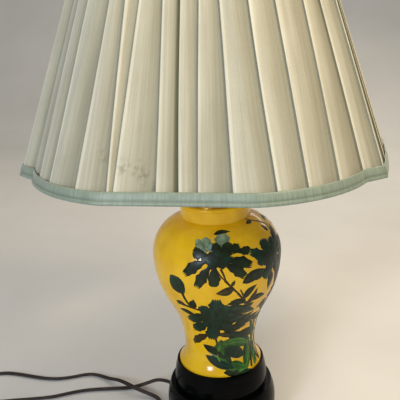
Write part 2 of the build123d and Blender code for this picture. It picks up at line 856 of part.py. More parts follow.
# Spider: a washer on the harp's stud with arms out to the top ring
hub_hole = stud_radius + running_gap
with BuildPart() as shade_spider:
    tube(hub_z, hub_top, hub_radius)
    for turn in arm_turns:
        ends = []
        for reach, height in ((hub_radius / 2, hub_z + arm_radius), (arm_end(turn), arm_z)):
            plane = Plane.YZ.rotated((0, 0, turn))
            with BuildSketch(plane.offset(reach), mode=Mode.PRIVATE) as arm_section:
                with Locations((0, height)):
                    Circle(arm_radius)
            ends.append(arm_section.sketch.face())
        loft(ends, ruled=True)
    tube(hub_z - arm_radius, hub_z, hub_radius, mode=Mode.SUBTRACT)
    tube(hub_top, hub_top + wire_diameter, finial_foot_radius + slip_gap, mode=Mode.SUBTRACT)
    tube(hub_z, hub_top, hub_hole, mode=Mode.SUBTRACT)
shade_spider.part.label = "shade_spider"
export_step(shade_spider.part, "parts/shade_spider.step")

# Turned brass finial on the stud
finial_z = hub_top + seat_gap
finial_top = finial_z + finial_height
stud_top = stud_disc_top + stud_length
with BuildPart() as finial:
    with BuildSketch(Plane.XZ):
        with BuildLine():
            stem = Polyline(
                (0, finial_z),
                (finial_foot_radius, finial_z),
                (finial_foot_radius, finial_z + finial_foot_height),
                (finial_neck_radius, finial_z + finial_neck_low),
                (finial_neck_radius, finial_z + finial_neck_high),
            )
            ball = ThreePointArc(
                stem @ 1,
                (finial_radius, finial_z + finial_ball_rise),
                (finial_tip_radius, finial_z + finial_ball_top),
            )
            tip = Line(ball @ 1, (finial_tip_radius, finial_top - finial_tip_radius))
            RadiusArc(tip @ 1, (0, finial_top), -finial_tip_radius)
            Line((0, finial_top), (0, finial_z))
        make_face()
    revolve(axis=Axis.Z)
    tube(finial_z, stud_top + slip_gap, stud_radius + running_gap, mode=Mode.SUBTRACT)
finial.part.label = "finial"
export_step(finial.part, "parts/finial.step")


# Flex
def bend_radii(points):
    """The largest even bend at each corner of a route."""
    radii = []
    for before, corner, after in zip(points, points[1:], points[2:]):
        run_in = Vector(corner) - Vector(before)
        run_out = Vector(after) - Vector(corner)
        turn = run_in.get_angle(run_out)
        run = bend_share * min(run_in.length, run_out.length)
        radii.append(run / tan(radians(turn / 2)))
    return radii


def flex_tube(points, name):
    """A length of flex along a route of straight runs and tangent bends."""
    radii = bend_radii(points)
    with BuildLine() as route:
        FilletPolyline(*points, radius=radii)
    path = route.wire()
    start = Plane(origin=path @ 0, z_dir=path % 0)
    with BuildSketch(start) as section:
        Circle(flex_radius)
    sweep(section.sketch, path=path)
    print(name, "length", round(path.length, 1), "bends", [round(r, 1) for r in radii])


nose_tip = exit_way * nose_end + Vector(0, 0, flex_height)
rod_way_top = socket_z + socket_hub_height + flex_end_rise
with BuildPart() as inner_cord:
    with BuildLine() as inner_route:
        FilletPolyline(nose_tip, (0, 0, flex_height), (0, 0, rod_way_top), radius=flex_bend)
    with BuildSketch(Plane(origin=nose_tip, z_dir=-exit_way)):
        Circle(flex_radius)
    sweep(path=inner_route.wire())
inner_cord.part.label = "inner_cord"
export_step(inner_cord.part, "parts/inner_cord.step")

coil_pitch = 2 * flex_radius + coil_gap
coil_floor = tie_thickness + 2 * seat_gap
coil_z = coil_floor + flex_radius
coil_upper_z = coil_z + coil_pitch
coil_x = coil_centre_x + coil_radius
lie = flex_radius
coil_lead = 2 * flex_radius
cord_points = [
    nose_tip,
    nose_tip + exit_way * flex_lead,
    (-105, 38.5, 6.5),
    (-121, 32.5, lie),
    (-138, 28, lie),
    (-158, 25, lie),
    (-180, 20.5, lie),
    (-200, 12, lie),
    (-222, -0.5, lie),
    (-246, -7, lie),
    (-271, -13, lie),
    (-291, -19, lie),
    (-309, -21, lie),
    (-328.5, -14, lie),
    (-340.5, 2.5, lie),
    (-340.5, 23.5, lie),
    (-328.5, 40, lie),
    (-309, 46.5, lie),
    (-288, 43.5, lie),
    (-262, 40, lie),
    (-236, 40.5, lie),
    (-213, 46, lie),
    (-191, 52, lie),
    (-171, 50.5, lie),
    (-153, 44, lie + flex_ramp),
    (-137, 37, flex_crossing),
    (-117, 27.5, flex_crossing),
    (-101, 19.5, lie + flex_ramp),
    (-86, 8.5, lie),
    (-77, -8, lie),
    (-73, -27, lie),
    (coil_x, coil_centre_y + coil_approach, coil_z),
    (coil_x, coil_centre_y + coil_lead, coil_z),
]
with BuildPart() as lamp_cord:
    flex_tube(cord_points, "lamp_cord")
lamp_cord.part.label = "lamp_cord"
export_step(lamp_cord.part, "parts/lamp_cord.step")

# Coil: spirals in on the lower layer, climbs in the half turn at the middle, spirals out above
with BuildPart() as cord_coil:
    with BuildLine() as coil_route:
        across = coil_radius
        Line(
            (coil_x, coil_centre_y + coil_lead, coil_z),
            (coil_x, coil_centre_y, coil_z),
        )
        for turn in range(coil_turns):
            right = (coil_centre_x + across, coil_centre_y, coil_z)
            left = (coil_centre_x - across, coil_centre_y, coil_z)
            across -= coil_pitch
            inner = (coil_centre_x + across, coil_centre_y, coil_z)
            TangentArc(right, left, tangent=(0, -1, 0))
            TangentArc(left, inner, tangent=(0, 1, 0))
        climb_reach = sqrt(across ** 2 + (coil_pitch / 2) ** 2)
        climb_low = (coil_centre_x + across, coil_centre_y, coil_z)
        climb_middle = (coil_centre_x, coil_centre_y - climb_reach, coil_z + coil_pitch / 2)
        climb_high = (coil_centre_x - across, coil_centre_y, coil_upper_z)
        TangentArc(climb_low, climb_middle, tangent=(0, -1, 0))
        TangentArc(climb_middle, climb_high, tangent=(-across, 0, coil_pitch / 2))
        for turn in range(coil_turns):
            left = (coil_centre_x - across, coil_centre_y, coil_upper_z)
            across += coil_pitch
            right = (coil_centre_x + across, coil_centre_y, coil_upper_z)
            outer = (coil_centre_x - across, coil_centre_y, coil_upper_z)
            TangentArc(left, right, tangent=(0, 1, 0))
            if turn < coil_turns - 1:
                TangentArc(right, outer, tangent=(0, -1, 0))
        Line(
            (coil_x, coil_centre_y, coil_upper_z),
            (coil_x, coil_centre_y - coil_lead, coil_upper_z),
        )
    coil_path = coil_route.wire()
    with BuildSketch(Plane(origin=coil_path @ 0, z_dir=coil_path % 0)):
        Circle(flex_radius)
    sweep(path=coil_path)
cord_coil.part.label = "cord_coil"
export_step(cord_coil.part, "parts/cord_coil.step")

# Least gap between turns, measured on points a short step apart
gap_step = 1.5
step_count = int(coil_path.length / gap_step)
samples = [coil_path.position_at(k / step_count) for k in range(step_count + 1)]
apart = int(3 * coil_lead / gap_step)
gaps = [
    (samples[i] - samples[j]).length - 2 * flex_radius
    for i in range(len(samples))
    for j in range(i + apart, len(samples))
]
print("cord_coil length", round(coil_path.length, 1), "least gap", round(min(gaps), 2))

tail_z = plug_height / 2 + seat_gap
tail_points = [
    (coil_x, coil_centre_y - coil_lead, coil_upper_z),
    (coil_x, coil_centre_y - tail_lead, coil_upper_z),
    (coil_x + tail_turn_x, coil_centre_y - tail_turn_y, tail_z),
    (coil_x + tail_end_x, coil_centre_y - tail_end_y, tail_z),
]
with BuildPart() as cord_tail:
    flex_tube(tail_points, "cord_tail")
cord_tail.part.label = "cord_tail"
export_step(cord_tail.part, "parts/cord_tail.step")

# Tie: a flat strap round the coil's turns
bundle_inner = coil_radius - coil_turns * coil_pitch - flex_radius - tie_gap
bundle_outer = coil_radius + flex_radius + tie_gap
bundle_top = coil_upper_z + flex_radius + tie_gap
strap_y = coil_centre_y - (bundle_inner + bundle_outer) / 2
strap_z = (tie_thickness + seat_gap + bundle_top) / 2
strap_span = bundle_outer - bundle_inner
strap_rise = bundle_top - tie_thickness - seat_gap
with BuildPart() as cord_tie:
    with BuildSketch(Plane.YZ.offset(coil_centre_x - tie_width / 2)):
        with Locations((strap_y, strap_z)):
            Rectangle(strap_span + 2 * tie_thickness, strap_rise + 2 * tie_thickness)
            Rectangle(strap_span, strap_rise, mode=Mode.SUBTRACT)
    extrude(amount=tie_width)
cord_tie.part.label = "cord_tie"
export_step(cord_tie.part, "parts/cord_tie.step")

# Two-blade plug beside the coil
plug_start = Vector(tail_points[-1])
plug_way = (plug_start - Vector(tail_points[-2])).normalized()
plug_plane = Plane(origin=plug_start, x_dir=(-plug_way.Y, plug_way.X, 0), z_dir=plug_way)
with BuildPart() as plug_body:
    with BuildSketch(plug_plane):
        Circle(plug_nose_radius)
    with BuildSketch(plug_plane.offset(plug_nose)):
        Circle(plug_shoulder_radius)
    loft()
    with BuildSketch(plug_plane.offset(plug_nose)):
        RectangleRounded(plug_width, plug_height, plug_corner)
    extrude(amount=plug_length)
    with BuildSketch(plug_plane.offset(plug_nose + plug_length - blade_root)):
        with Locations((blade_spacing / 2, 0), (-blade_spacing / 2, 0)):
            Rectangle(blade_thickness, blade_width)
    extrude(amount=blade_root, mode=Mode.SUBTRACT)
plug_body.part.label = "plug_body"
export_step(plug_body.part, "parts/plug_body.step")

with BuildPart() as plug_blades:
    with BuildSketch(plug_plane.offset(plug_nose + plug_length - blade_root)):
        with Locations((blade_spacing / 2, 0), (-blade_spacing / 2, 0)):
            Rectangle(blade_thickness, blade_width)
    extrude(amount=blade_root + blade_length)
plug_blades.part.label = "plug_blades"
export_step(plug_blades.part, "parts/plug_blades.step")

print("shade", round(shade_bottom, 1), "to", round(shade_top, 1), "finial top", round(finial_top, 1))
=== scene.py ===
"""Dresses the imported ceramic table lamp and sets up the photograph's view of it."""
import logging
import math
import random
from dataclasses import dataclass
from enum import Enum
from functools import partial
from typing import Any, Callable, ClassVar, Sequence

import bpy
import numpy as np
from mathutils import Matrix, Vector
from mathutils.bvhtree import BVHTree


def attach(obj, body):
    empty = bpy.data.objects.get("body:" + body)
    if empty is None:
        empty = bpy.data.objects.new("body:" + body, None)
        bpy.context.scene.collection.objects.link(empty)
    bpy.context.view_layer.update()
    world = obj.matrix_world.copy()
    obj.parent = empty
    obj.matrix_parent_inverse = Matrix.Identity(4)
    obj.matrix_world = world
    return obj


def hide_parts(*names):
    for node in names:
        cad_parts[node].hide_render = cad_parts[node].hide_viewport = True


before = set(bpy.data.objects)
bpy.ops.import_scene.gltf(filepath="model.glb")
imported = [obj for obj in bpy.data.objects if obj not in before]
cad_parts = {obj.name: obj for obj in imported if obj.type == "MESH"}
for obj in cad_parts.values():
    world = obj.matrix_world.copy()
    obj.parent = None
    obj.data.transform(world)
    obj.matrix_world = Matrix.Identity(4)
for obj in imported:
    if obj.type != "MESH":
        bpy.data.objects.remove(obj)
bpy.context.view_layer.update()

MM = 0.001
# Socket numbers of a mix node's two colours and of its result
MIX_FIRST, MIX_SECOND, MIX_RESULT = 6, 7, 2
# Radians that a wave node draws in a metre at a scale of 1
WAVE_RADIANS = 20
log = logging.getLogger("lamp")
Pair = tuple[float, float]
Triple = tuple[float, float, float]
Tree = bpy.types.NodeTree
Socket = bpy.types.NodeSocket


def linear(code: str) -> tuple[float, float, float, float]:
    """Turns an sRGB hex colour into linear light.

    Args:
        code: Six hex digits.

    Returns:
        Red, green, blue and an alpha of 1.
    """
    parts = [int(code[k:k + 2], 16) / 255 for k in (0, 2, 4)]
    red, green, blue = [c / 12.92 if c <= 0.04045 else ((c + 0.055) / 1.055) ** 2.4 for c in parts]
    return (red, green, blue, 1.0)


def add_node(
    tree: Tree,
    kind: str,
    inputs: dict[Any, Any],
    output: int | str = 0,
    stops: Sequence[tuple[float, str]] = (),
    **settings: Any,
) -> Socket:
    """Adds a node with its settings, values and links.

    Args:
        tree: The material's node tree.
        kind: The node's type.
        inputs: Values or output sockets, by the name or number of the input socket.
        output: Name or number of the output that is wanted.
        stops: Places and hex colours of a colour ramp's two ends.
        **settings: The node's own properties.

    Returns:
        The output's socket.
    """
    node = tree.nodes.new(kind)
    for key, value in settings.items():
        setattr(node, key, value)
    for key, value in inputs.items():
        if isinstance(value, Socket):
            tree.links.new(value, node.inputs[key])
        else:
            node.inputs[key].default_value = value
    for k, (place, code) in enumerate(stops):
        stop = node.color_ramp.elements[k]
        stop.position = place
        stop.color = linear(code)
    return node.outputs[output]


def grid_faces(
    rows: int, columns: int, closed: bool = True, looped: bool = False, capped: bool = False
) -> list[tuple[int, ...]]:
    """Lists the faces of a grid of points that are stored row by row.

    Args:
        rows: Number of rows.
        columns: Number of points in a row.
        closed: Whether each row closes on itself.
        looped: Whether the last row joins the first.
        capped: Whether the first and last rows are filled in.

    Returns:
        The point numbers of each face.
    """
    faces: list[tuple[int, ...]] = []
    for r in range(rows if looped else rows - 1):
        for c in range(columns if closed else columns - 1):
            near, far = r * columns, (r + 1) % rows * columns
            step = (c + 1) % columns
            faces.append((near + c, near + step, far + step, far + c))
    if capped:
        faces += [tuple(range(columns))[::-1], tuple(range((rows - 1) * columns, rows * columns))]
    return faces


def smooth_step(value: float) -> float:
    """Eases a value from 0 to 1."""
    value = min(1.0, max(0.0, value))
    return value * value * (3 - 2 * value)


def circle(count: int) -> list[float]:
    """Even angles round a circle, in radians."""
    return [2 * math.pi * k / count for k in range(count)]


def squarish(turn: float, power: float) -> Pair:
    """A point at an angle on a square two units wide, rounder at a lower power."""
    across, upward = math.cos(turn), math.sin(turn)
    return tuple(math.copysign(abs(way) ** (2 / power), way) for way in (across, upward))


@dataclass(frozen=True)
class Finish:
    """A finish of one real material, with the patchiness and grain that its surface shows.

    Attributes:
        name: The material's common name and how its surface was made.
        colour: sRGB hex of its main colour.
        second: sRGB hex of its patches.
        roughness: Roughness of the main colour.
        swing: How much rougher the patches are.
        patch: Width of a patch in mm.
        grain: Width of the surface's grain in mm.
        relief: Height of the grain in mm.
        stretch: How much finer the pattern is along x, y and z.
        metallic: 1 for bare metal.
        sockets: Other constant values of the shader.
        spread: Values of the pattern's noise where the main colour ends and the patches begin.
        tint: Name of the piece's own point colours that lie under the pattern, if it has them.
    """

    name: str
    colour: str
    second: str
    roughness: float
    swing: float = 0.1
    patch: float = 12.0
    grain: float = 1.0
    relief: float = 0.02
    stretch: Triple = (1.0, 1.0, 1.0)
    metallic: float = 0.0
    sockets: tuple[tuple[str, float], ...] = ()
    spread: Pair = (0.38, 0.68)
    tint: str = ""

    def material(self) -> bpy.types.Material:
        """Makes the finish's material the first time it is wanted.

        Returns:
            The material.
        """
        found = bpy.data.materials.get(self.name)
        if found:
            return found
        material = bpy.data.materials.new(self.name)
        material.use_nodes = True
        tree = material.node_tree
        shader = tree.nodes["Principled BSDF"]
        shader.inputs["Base Color"].default_value = linear(self.colour)
        for socket, value in (("Roughness", self.roughness), ("Metallic", self.metallic), *self.sockets):
            shader.inputs[socket].default_value = value
        for socket, source in self.pattern(tree).items():
            tree.links.new(source, shader.inputs[socket])
        return material

    def pattern(self, tree: Tree) -> dict[str, Socket]:
        """Draws patches in colour and roughness, and grain in relief, in the piece's own coordinates.

        Args:
            tree: The material's node tree.

        Returns:
            What drives the shader's sockets, by their names.
        """
        add = partial(add_node, tree)
        own = add("ShaderNodeTexCoord", {}, "Object")
        place = add("ShaderNodeVectorMath", {0: own, 1: self.stretch}, operation="MULTIPLY")
        patches, grain = [
            add("ShaderNodeTexNoise", {"Vector": place, "Scale": 1 / (size * MM), "Detail": detail})
            for size, detail in ((self.patch, 4.0), (self.grain, 2.0))
        ]
        stops = tuple(zip(self.spread, (self.colour, self.second)))
        colour = add("ShaderNodeValToRGB", {"Fac": patches}, stops=stops)
        if self.tint:
            tint = add("ShaderNodeAttribute", {}, "Color", attribute_name=self.tint)
            layers = {"Factor": 1.0, MIX_FIRST: tint, MIX_SECOND: colour}
            colour = add("ShaderNodeMix", layers, MIX_RESULT, data_type="RGBA", blend_type="MULTIPLY")
        limits = {"To Min": self.roughness, "To Max": self.roughness + self.swing}
        rough = add("ShaderNodeMapRange", {"Value": patches, "From Min": 0.3, "From Max": 0.7, **limits})
        relief = {"Height": grain, "Strength": 0.6, "Distance": self.relief * MM}
        return {"Base Color": colour, "Roughness": rough, "Normal": add("ShaderNodeBump", relief)}

    def dress(self, *nodes: str) -> None:
        """Puts the finish on CAD nodes.

        Args:
            *nodes: The nodes' names.
        """
        for name in nodes:
            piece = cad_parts[name]
            if not piece.material_slots:
                piece.data.materials.append(self.material())
            for slot in piece.material_slots:
                slot.material = self.material()


@dataclass(frozen=True, kw_only=True)
class ClothFinish(Finish):
    """Woven cloth: threads along and across, slubs, and painted shade in its folds.

    Attributes:
        fold: sRGB hex of the painted shade deep in a fold, also used for the smudges.
        thread: Thread spacing in mm.
        slub: Length of a slub in mm.
        smudges: Place along and up the cloth, and reach, of each faint smudge in mm.
        speck: Size of the specks in a smudge in mm.
    """

    fold: str
    thread: float
    slub: float
    smudges: tuple[Triple, ...] = ()
    speck: float = 5.0

    def pattern(self, tree: Tree) -> dict[str, Socket]:
        """Draws the threads in relief, and slubs, stains, painted shade in the folds and smudges in colour.

        Args:
            tree: The material's node tree.

        Returns:
            What drives the shader's sockets, by their names.
        """
        add = partial(add_node, tree)
        cloth = add("ShaderNodeAttribute", {}, "Vector", attribute_name="cloth")
        painted_shade = add("ShaderNodeAttribute", {}, "Fac", attribute_name="painted_shade")
        finer = (1 / (self.thread * 2 * MM), 1 / (self.slub * MM), 1.0)
        along = add("ShaderNodeVectorMath", {0: cloth, 1: finer}, operation="MULTIPLY")
        slubs = add("ShaderNodeTexNoise", {"Vector": along, "Scale": 1.0, "Detail": 3.0})
        stains = add("ShaderNodeTexNoise", {"Vector": cloth, "Scale": 1 / (self.patch * MM), "Detail": 3.0})
        # Two parts of slubs to one of stains
        parts = add("ShaderNodeMath", {0: slubs, 1: 2.0, 2: stains}, operation="MULTIPLY_ADD")
        mixed = add("ShaderNodeMath", {0: parts, 1: 3.0}, operation="DIVIDE")
        stops = ((0.4, self.second), (0.58, self.colour))
        colour = add("ShaderNodeValToRGB", {"Fac": mixed}, stops=stops)
        # Painted shade: the fold colour mixed in by each point's painted_shade value
        colour = self.darkened(tree, colour, painted_shade)
        if self.smudges:
            colour = self.smudged(tree, cloth, colour)
        threads = {"Vector": cloth, "Scale": 2 * math.pi / WAVE_RADIANS / (self.thread * MM)}
        warp, weft = [add("ShaderNodeTexWave", threads, "Fac", bands_direction=way) for way in "XY"]
        weave = add("ShaderNodeMath", {0: warp, 1: weft}, operation="ADD")
        height = add("ShaderNodeMath", {0: slubs, 1: 2.0, 2: weave}, operation="MULTIPLY_ADD")
        relief = {"Height": height, "Strength": 0.5, "Distance": self.relief * MM}
        return {"Base Color": colour, "Normal": add("ShaderNodeBump", relief)}

    def darkened(self, tree: Tree, colour: Socket, share: Socket) -> Socket:
        """Mixes a share of the fold colour into the cloth's, for painted shade and for smudges."""
        layers = {"Factor": share, MIX_FIRST: colour, MIX_SECOND: linear(self.fold)}
        return add_node(tree, "ShaderNodeMix", layers, MIX_RESULT, data_type="RGBA")

    def smudged(self, tree: Tree, cloth: Socket, colour: Socket) -> Socket:
        """Breaks the smudges up into specks over the cloth's colour.

        Args:
            tree: The material's node tree.
            cloth: Place on the cloth.
            colour: The clean cloth's colour.

        Returns:
            The colour with its smudges.
        """
        add = partial(add_node, tree)
        noise = add("ShaderNodeTexNoise", {"Vector": cloth, "Scale": 1 / (self.speck * MM), "Detail": 4.0})
        specks = add("ShaderNodeMapRange", {"Value": noise, "From Min": 0.45, "From Max": 0.6})
        for along, upward, reach in self.smudges:
            middle = (along * MM, upward * MM, 0.0)
            away = add("ShaderNodeVectorMath", {0: cloth, 1: middle}, "Value", operation="DISTANCE")
            fade = {"Value": away, "From Max": reach * MM, "To Min": 0.6, "To Max": 0.0}
            near = add("ShaderNodeMapRange", fade)
            share = add("ShaderNodeMath", {0: near, 1: specks}, operation="MULTIPLY")
            colour = self.darkened(tree, colour, share)
        return colour


# Stoneware under a thick yellow glaze: a wet gloss, deeper yellow where the glaze pooled
YELLOW_GLAZE = Finish(
    "yellow_glazed_stoneware", "f2c11c", "e2ae12", 0.15, swing=0.06, patch=26, grain=7, relief=0.12,
    sockets=(("Specular IOR Level", 0.3), ("Coat Weight", 0.2), ("Coat Roughness", 0.05)),
)
# Overglaze enamel, brushed on and fired: slightly raised, less glossy than the glaze
ENAMEL = Finish(
    "painted_enamel", "ffffff", "a0ab8c", 0.32, swing=0.12, patch=5, grain=0.9, relief=0.06,
    sockets=(("Specular IOR Level", 0.3),), spread=(0.35, 0.75), tint="tint",
)
# Turned hardwood under black lacquer: deep gloss, faint turning rings, a bloom of dust
BLACK_LACQUER = Finish(
    "lacquered_turned_wood", "020304", "050707", 0.13, swing=0.08, patch=30, grain=14,
    stretch=(1.0, 1.0, 5.0), sockets=(("Specular IOR Level", 0.06),),
)
# Pressed wool felt: dull, fibrous; fibres drawn several times coarser than real so that they show
GREEN_FELT = Finish(
    "pressed_wool_felt", "26382c", "1c2a22", 0.95, swing=0.03, patch=6, grain=0.8, relief=0.3,
    sockets=(("Sheen Weight", 0.4),),
)
# Spun and lacquered brass: warm metal with turning lines and darker handled patches
SPUN_BRASS = Finish(
    "spun_lacquered_brass", "c79a4b", "a77c37", 0.24, swing=0.16, patch=14, grain=6,
    stretch=(1.0, 1.0, 14.0), metallic=1.0,
)
# Brass-plated steel wire, drawn: fine lines along the wire and dull spots where the plating is thin
PLATED_WIRE = Finish(
    "brass_plated_wire", "c4a05c", "8d7444", 0.28, swing=0.2, patch=9, grain=2, metallic=1.0,
)
# Zinc-plated steel: cool grey, cloudy
ZINC_STEEL = Finish(
    "zinc_plated_steel", "a9adb2", "8a8d90", 0.34, swing=0.16, patch=4, grain=1.2, metallic=1.0,
)
# Aluminium bulb cap, rolled: pale and soft
CAP_ALUMINIUM = Finish(
    "rolled_aluminium", "c9cbcd", "b2b4b6", 0.3, swing=0.12, patch=5, grain=1.5, metallic=1.0,
)
# Stamped brass of contacts and plug blades: bright, with rubbed streaks
PLUG_BRASS = Finish(
    "stamped_brass", "c9a860", "a58a4e", 0.3, swing=0.18, patch=4, metallic=1.0,
)
# Phenolic moulding: dark brown-black, half gloss
PHENOLIC = Finish(
    "moulded_phenolic", "1d1411", "2a1d17", 0.32, swing=0.15, patch=8, relief=0.03,
)
# Glossy black moulded plastic with a faint sink and flow texture
BLACK_PLASTIC = Finish(
    "moulded_black_plastic", "131313", "1d1c1b", 0.36, swing=0.14, patch=7, grain=0.8, relief=0.04,
)
# Moulded rubber: matt, dusty
RUBBER = Finish("moulded_rubber", "161616", "242322", 0.78, patch=6, grain=0.7, relief=0.06)
# Vulcanised fibre card: grey-brown with flecks
FIBRE_CARD = Finish("fibre_card", "8d7350", "735a3c", 0.85, swing=0.06, patch=5, grain=0.6, relief=0.08)
# Vitrite, the black glass in a bulb's cap: glossy
VITRITE = Finish("black_vitrite_glass", "0b0b0e", "15151a", 0.12, swing=0.08, patch=5)
# Bulb glass frosted inside: white and soft, with a thin skin of gloss
FROSTED_GLASS = Finish(
    "frosted_bulb_glass", "f2f1ec", "e6e5df", 0.28, swing=0.08, patch=16, grain=3, relief=0.01,
    sockets=(("Transmission Weight", 0.45), ("IOR", 1.5), ("Coat Weight", 0.5), ("Coat Roughness", 0.05)),
)
# Tungsten filament on its glass stem: dull grey metal
FILAMENT = Finish("tungsten_wire", "8b8782", "6f6b66", 0.45, patch=2, grain=0.6, relief=0.05, metallic=1.0)
# Soft vinyl insulation: dark brown, satin, finger marks
VINYL_FLEX = Finish(
    "extruded_vinyl", "33231a", "251810", 0.42, swing=0.16, patch=18, grain=0.7, relief=0.03,
)
# Frame wire dipped in white paint: thick, soft gloss, chipped spots
PAINTED_WIRE = Finish("painted_wire", "dcd6c6", "b9b09a", 0.45, swing=0.15, patch=7, relief=0.05)
# Slubbed cotton, hand pleated: cream and dry, with painted shade in the folds and light crests as painted
# highlights; real threads are 0.4 mm apart, drawn coarser
PLEATED_COTTON = ClothFinish(
    "pleated_slub_cotton", "d4d1bb", "c3bfa9", 0.9, patch=55, relief=0.1,
    fold="676549", thread=1.3, slub=110,
    smudges=((126, 367, 8), (153, 360, 8), (166, 358, 9), (173, 351, 8), (180, 343, 8)),
    sockets=(("Sheen Weight", 0.25), ("Sheen Roughness", 0.5)),
)
# Plain cotton lining: paler, flatter; threads drawn coarser than real
COTTON_LINING = ClothFinish(
    "plain_cotton_lining", "e6dfcd", "d8cfb8", 0.92, patch=70, relief=0.1,
    fold="b5ab92", thread=1.2, slub=25,
)
# Bias-cut satin tape: sage green, a soft shine along the band, painted shade along its stitched crease
SATIN_TAPE = ClothFinish(
    "bias_satin_tape", "8a9886", "7b8977", 0.42, patch=30, relief=0.06,
    fold="55624f", thread=0.9, slub=16,
    sockets=(("Sheen Weight", 0.4), ("Sheen Roughness", 0.35)),
)
# Plain pale table top, matt
PALE_TOP = Finish("painted_table_top", "dcdad4", "d6d4cd", 0.6, patch=220, grain=14)


def build_piece(
    name: str, points: Sequence[Sequence[float]], faces: Sequence, body: str, finish: Finish
) -> bpy.types.Object:
    """Makes a smooth mesh piece that moves with a body.

    Args:
        name: The piece's name.
        points: Its points, in metres.
        faces: Its faces.
        body: The CAD body that carries it; empty for the stage.
        finish: Its finish.

    Returns:
        The piece.
    """
    mesh = bpy.data.meshes.new(name)
    mesh.from_pydata([tuple(p) for p in points], [], faces)
    mesh.shade_smooth()
    mesh.materials.append(finish.material())
    piece = bpy.data.objects.new(name, mesh)
    bpy.context.scene.collection.objects.link(piece)
    if body:
        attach(piece, body)
    log.info("%s: %d points", name, len(points))
    return piece


def set_values(piece: bpy.types.Object, name: str, values: Sequence) -> None:
    """Stores a number, place or colour for each point of a piece.

    Args:
        piece: The piece.
        name: The values' name.
        values: A number, or a tuple of three or four, for each point.
    """
    rows = [value if isinstance(value, tuple) else (value,) for value in values]
    kinds = {1: ("FLOAT", "value"), 3: ("FLOAT_VECTOR", "vector"), 4: ("FLOAT_COLOR", "color")}
    kind, field = kinds[len(rows[0])]
    layer = piece.data.attributes.new(name, kind, "POINT")
    layer.data.foreach_set(field, [float(part) for row in rows for part in row])


@dataclass
class Studio:
    """Camera, light and table top, as in the photograph.

    Attributes:
        eye: The camera's place in mm.
        look: The way it looks.
        up: The picture's upward way.
        lens: Focal length in mm.
        picture: Width of the square picture in the camera in mm.
        half: Half the table top's width, and its reach in front of the lamp, in metres.
        back: Distance of the backdrop behind the lamp in metres.
        curve: Radius of the curve between them in metres.
        rise: Height of the backdrop in metres.
        gap: How far the top lies under the lamp, in metres.
        air: sRGB hex of the light from all sides.
        air_strength: Its strength.
    """

    eye: Triple = (104.36, -682.04, 488.05)
    look: Triple = (-0.16700, 0.93960, -0.29877)
    up: Triple = (-0.01129, 0.30118, 0.95350)
    lens: float = 58.5
    picture: float = 36.0
    half: float = 5.0
    back: float = 2.2
    curve: float = 0.8
    rise: float = 2.5
    gap: float = 0.0001
    air: str = "e6e8ea"
    air_strength: float = 0.36

    def camera(self) -> None:
        """Sets the camera."""
        data = bpy.data.cameras.new("camera")
        data.lens = self.lens
        data.sensor_width = self.picture
        data.clip_start = 0.01
        camera = bpy.data.objects.new("camera", data)
        forward = Vector(self.look).normalized()
        right = forward.cross(Vector(self.up)).normalized()
        turn = Matrix((right, right.cross(forward), -forward)).transposed().to_4x4()
        camera.matrix_world = Matrix.Translation(Vector(self.eye) * MM) @ turn
        bpy.context.scene.collection.objects.link(camera)
        bpy.context.scene.camera = camera

    def lamp(
        self, name: str, place: Triple, target: Triple, size: float, power: float, colour: str
    ) -> None:
        """Adds a soft square light.

        Args:
            name: The light's name.
            place: Where it hangs, in metres.
            target: What it points at, in metres.
            size: Its side in metres.
            power: Its power in watts.
            colour: sRGB hex of its light.
        """
        data = bpy.data.lights.new(name, "AREA")
        data.size = size
        data.energy = power
        data.color = linear(colour)[:3]
        light = bpy.data.objects.new(name, data)
        light.location = place
        light.rotation_euler = (Vector(target) - Vector(place)).to_track_quat("-Z", "Y").to_euler()
        bpy.context.scene.collection.objects.link(light)

    def lights(self) -> None:
        """Hangs a cool window light at the left, a warm ceiling light and a broad one behind."""
        self.lamp("window_light", (-0.62, -1.55, 0.74), (0, 0, 0.33), 0.4, 15.0, "dde9ff")
        self.lamp("ceiling_light", (0.5, -0.42, 1.3), (0, 0, 0.48), 0.5, 13.0, "ffe9c8")
        self.lamp("back_light", (0.5, 1.4, 1.3), (0, 0, 0.35), 1.2, 13.0, "fff4e4")
        world = bpy.data.worlds.new("studio")
        world.use_nodes = True
        background = world.node_tree.nodes["Background"]
        background.inputs["Color"].default_value = linear(self.air)
        background.inputs["Strength"].default_value = self.air_strength
        bpy.context.scene.world = world

    def table(self) -> None:
        """Lays a pale top that rises into a backdrop far behind the lamp."""
        bend, steps = self.back - self.curve, 10
        line = [(-self.half, 0.0), (bend, 0.0)]
        for k in range(1, steps + 1):
            turn = math.pi / 2 * k / steps
            line.append((bend + self.curve * math.sin(turn), self.curve - self.curve * math.cos(turn)))
        line.append((self.back, self.rise))
        points = [(side * self.half, y, z - self.gap) for y, z in line for side in (-1, 1)]
        top = build_piece("table_top", points, grid_faces(len(line), 2, closed=False), "", PALE_TOP)

    def build(self) -> None:
        """Sets up the whole stage."""
        bpy.context.scene.view_settings.view_transform = "Standard"
        self.camera()
        self.lights()
        self.table()


class Tint(Enum):
    """Enamel colours, as sRGB hex."""

    DARK = "1c2c12"
    TEAL = "183626"
    LEAF = "3c6c2a"
    BROWN = "403615"
    STEM = "4a3411"
    PALE = "84987a"
    MIST = "869d90"
    FRESH = "5f8f34"


@dataclass(frozen=True)
class Stroke:
    """One brush stroke, in mm across and up the vase from the middle of its spray.

    Attributes:
        tint: Its enamel.
        across: Where the brush lands, to the right.
        upward: Where it lands, above.
        end_across: Where it lifts, to the right.
        end_upward: Where it lifts, above.
        width: The stroke's width.
        bend: How far its middle bows to its left.
        vein: How much lighter its middle line is.
    """

    tint: Tint
    across: float
    upward: float
    end_across: float
    end_upward: float
    width: float
    bend: float = 0.0
    vein: ClassVar[float] = 1.0

    def swell(self, share: float) -> float:
        """How wide the stroke is, part of the way along it, against its full width."""
        raise NotImplementedError

    def reach(self, share: float, off: float) -> float:
        """How far along the stroke a point lies that is off its middle line."""
        return share


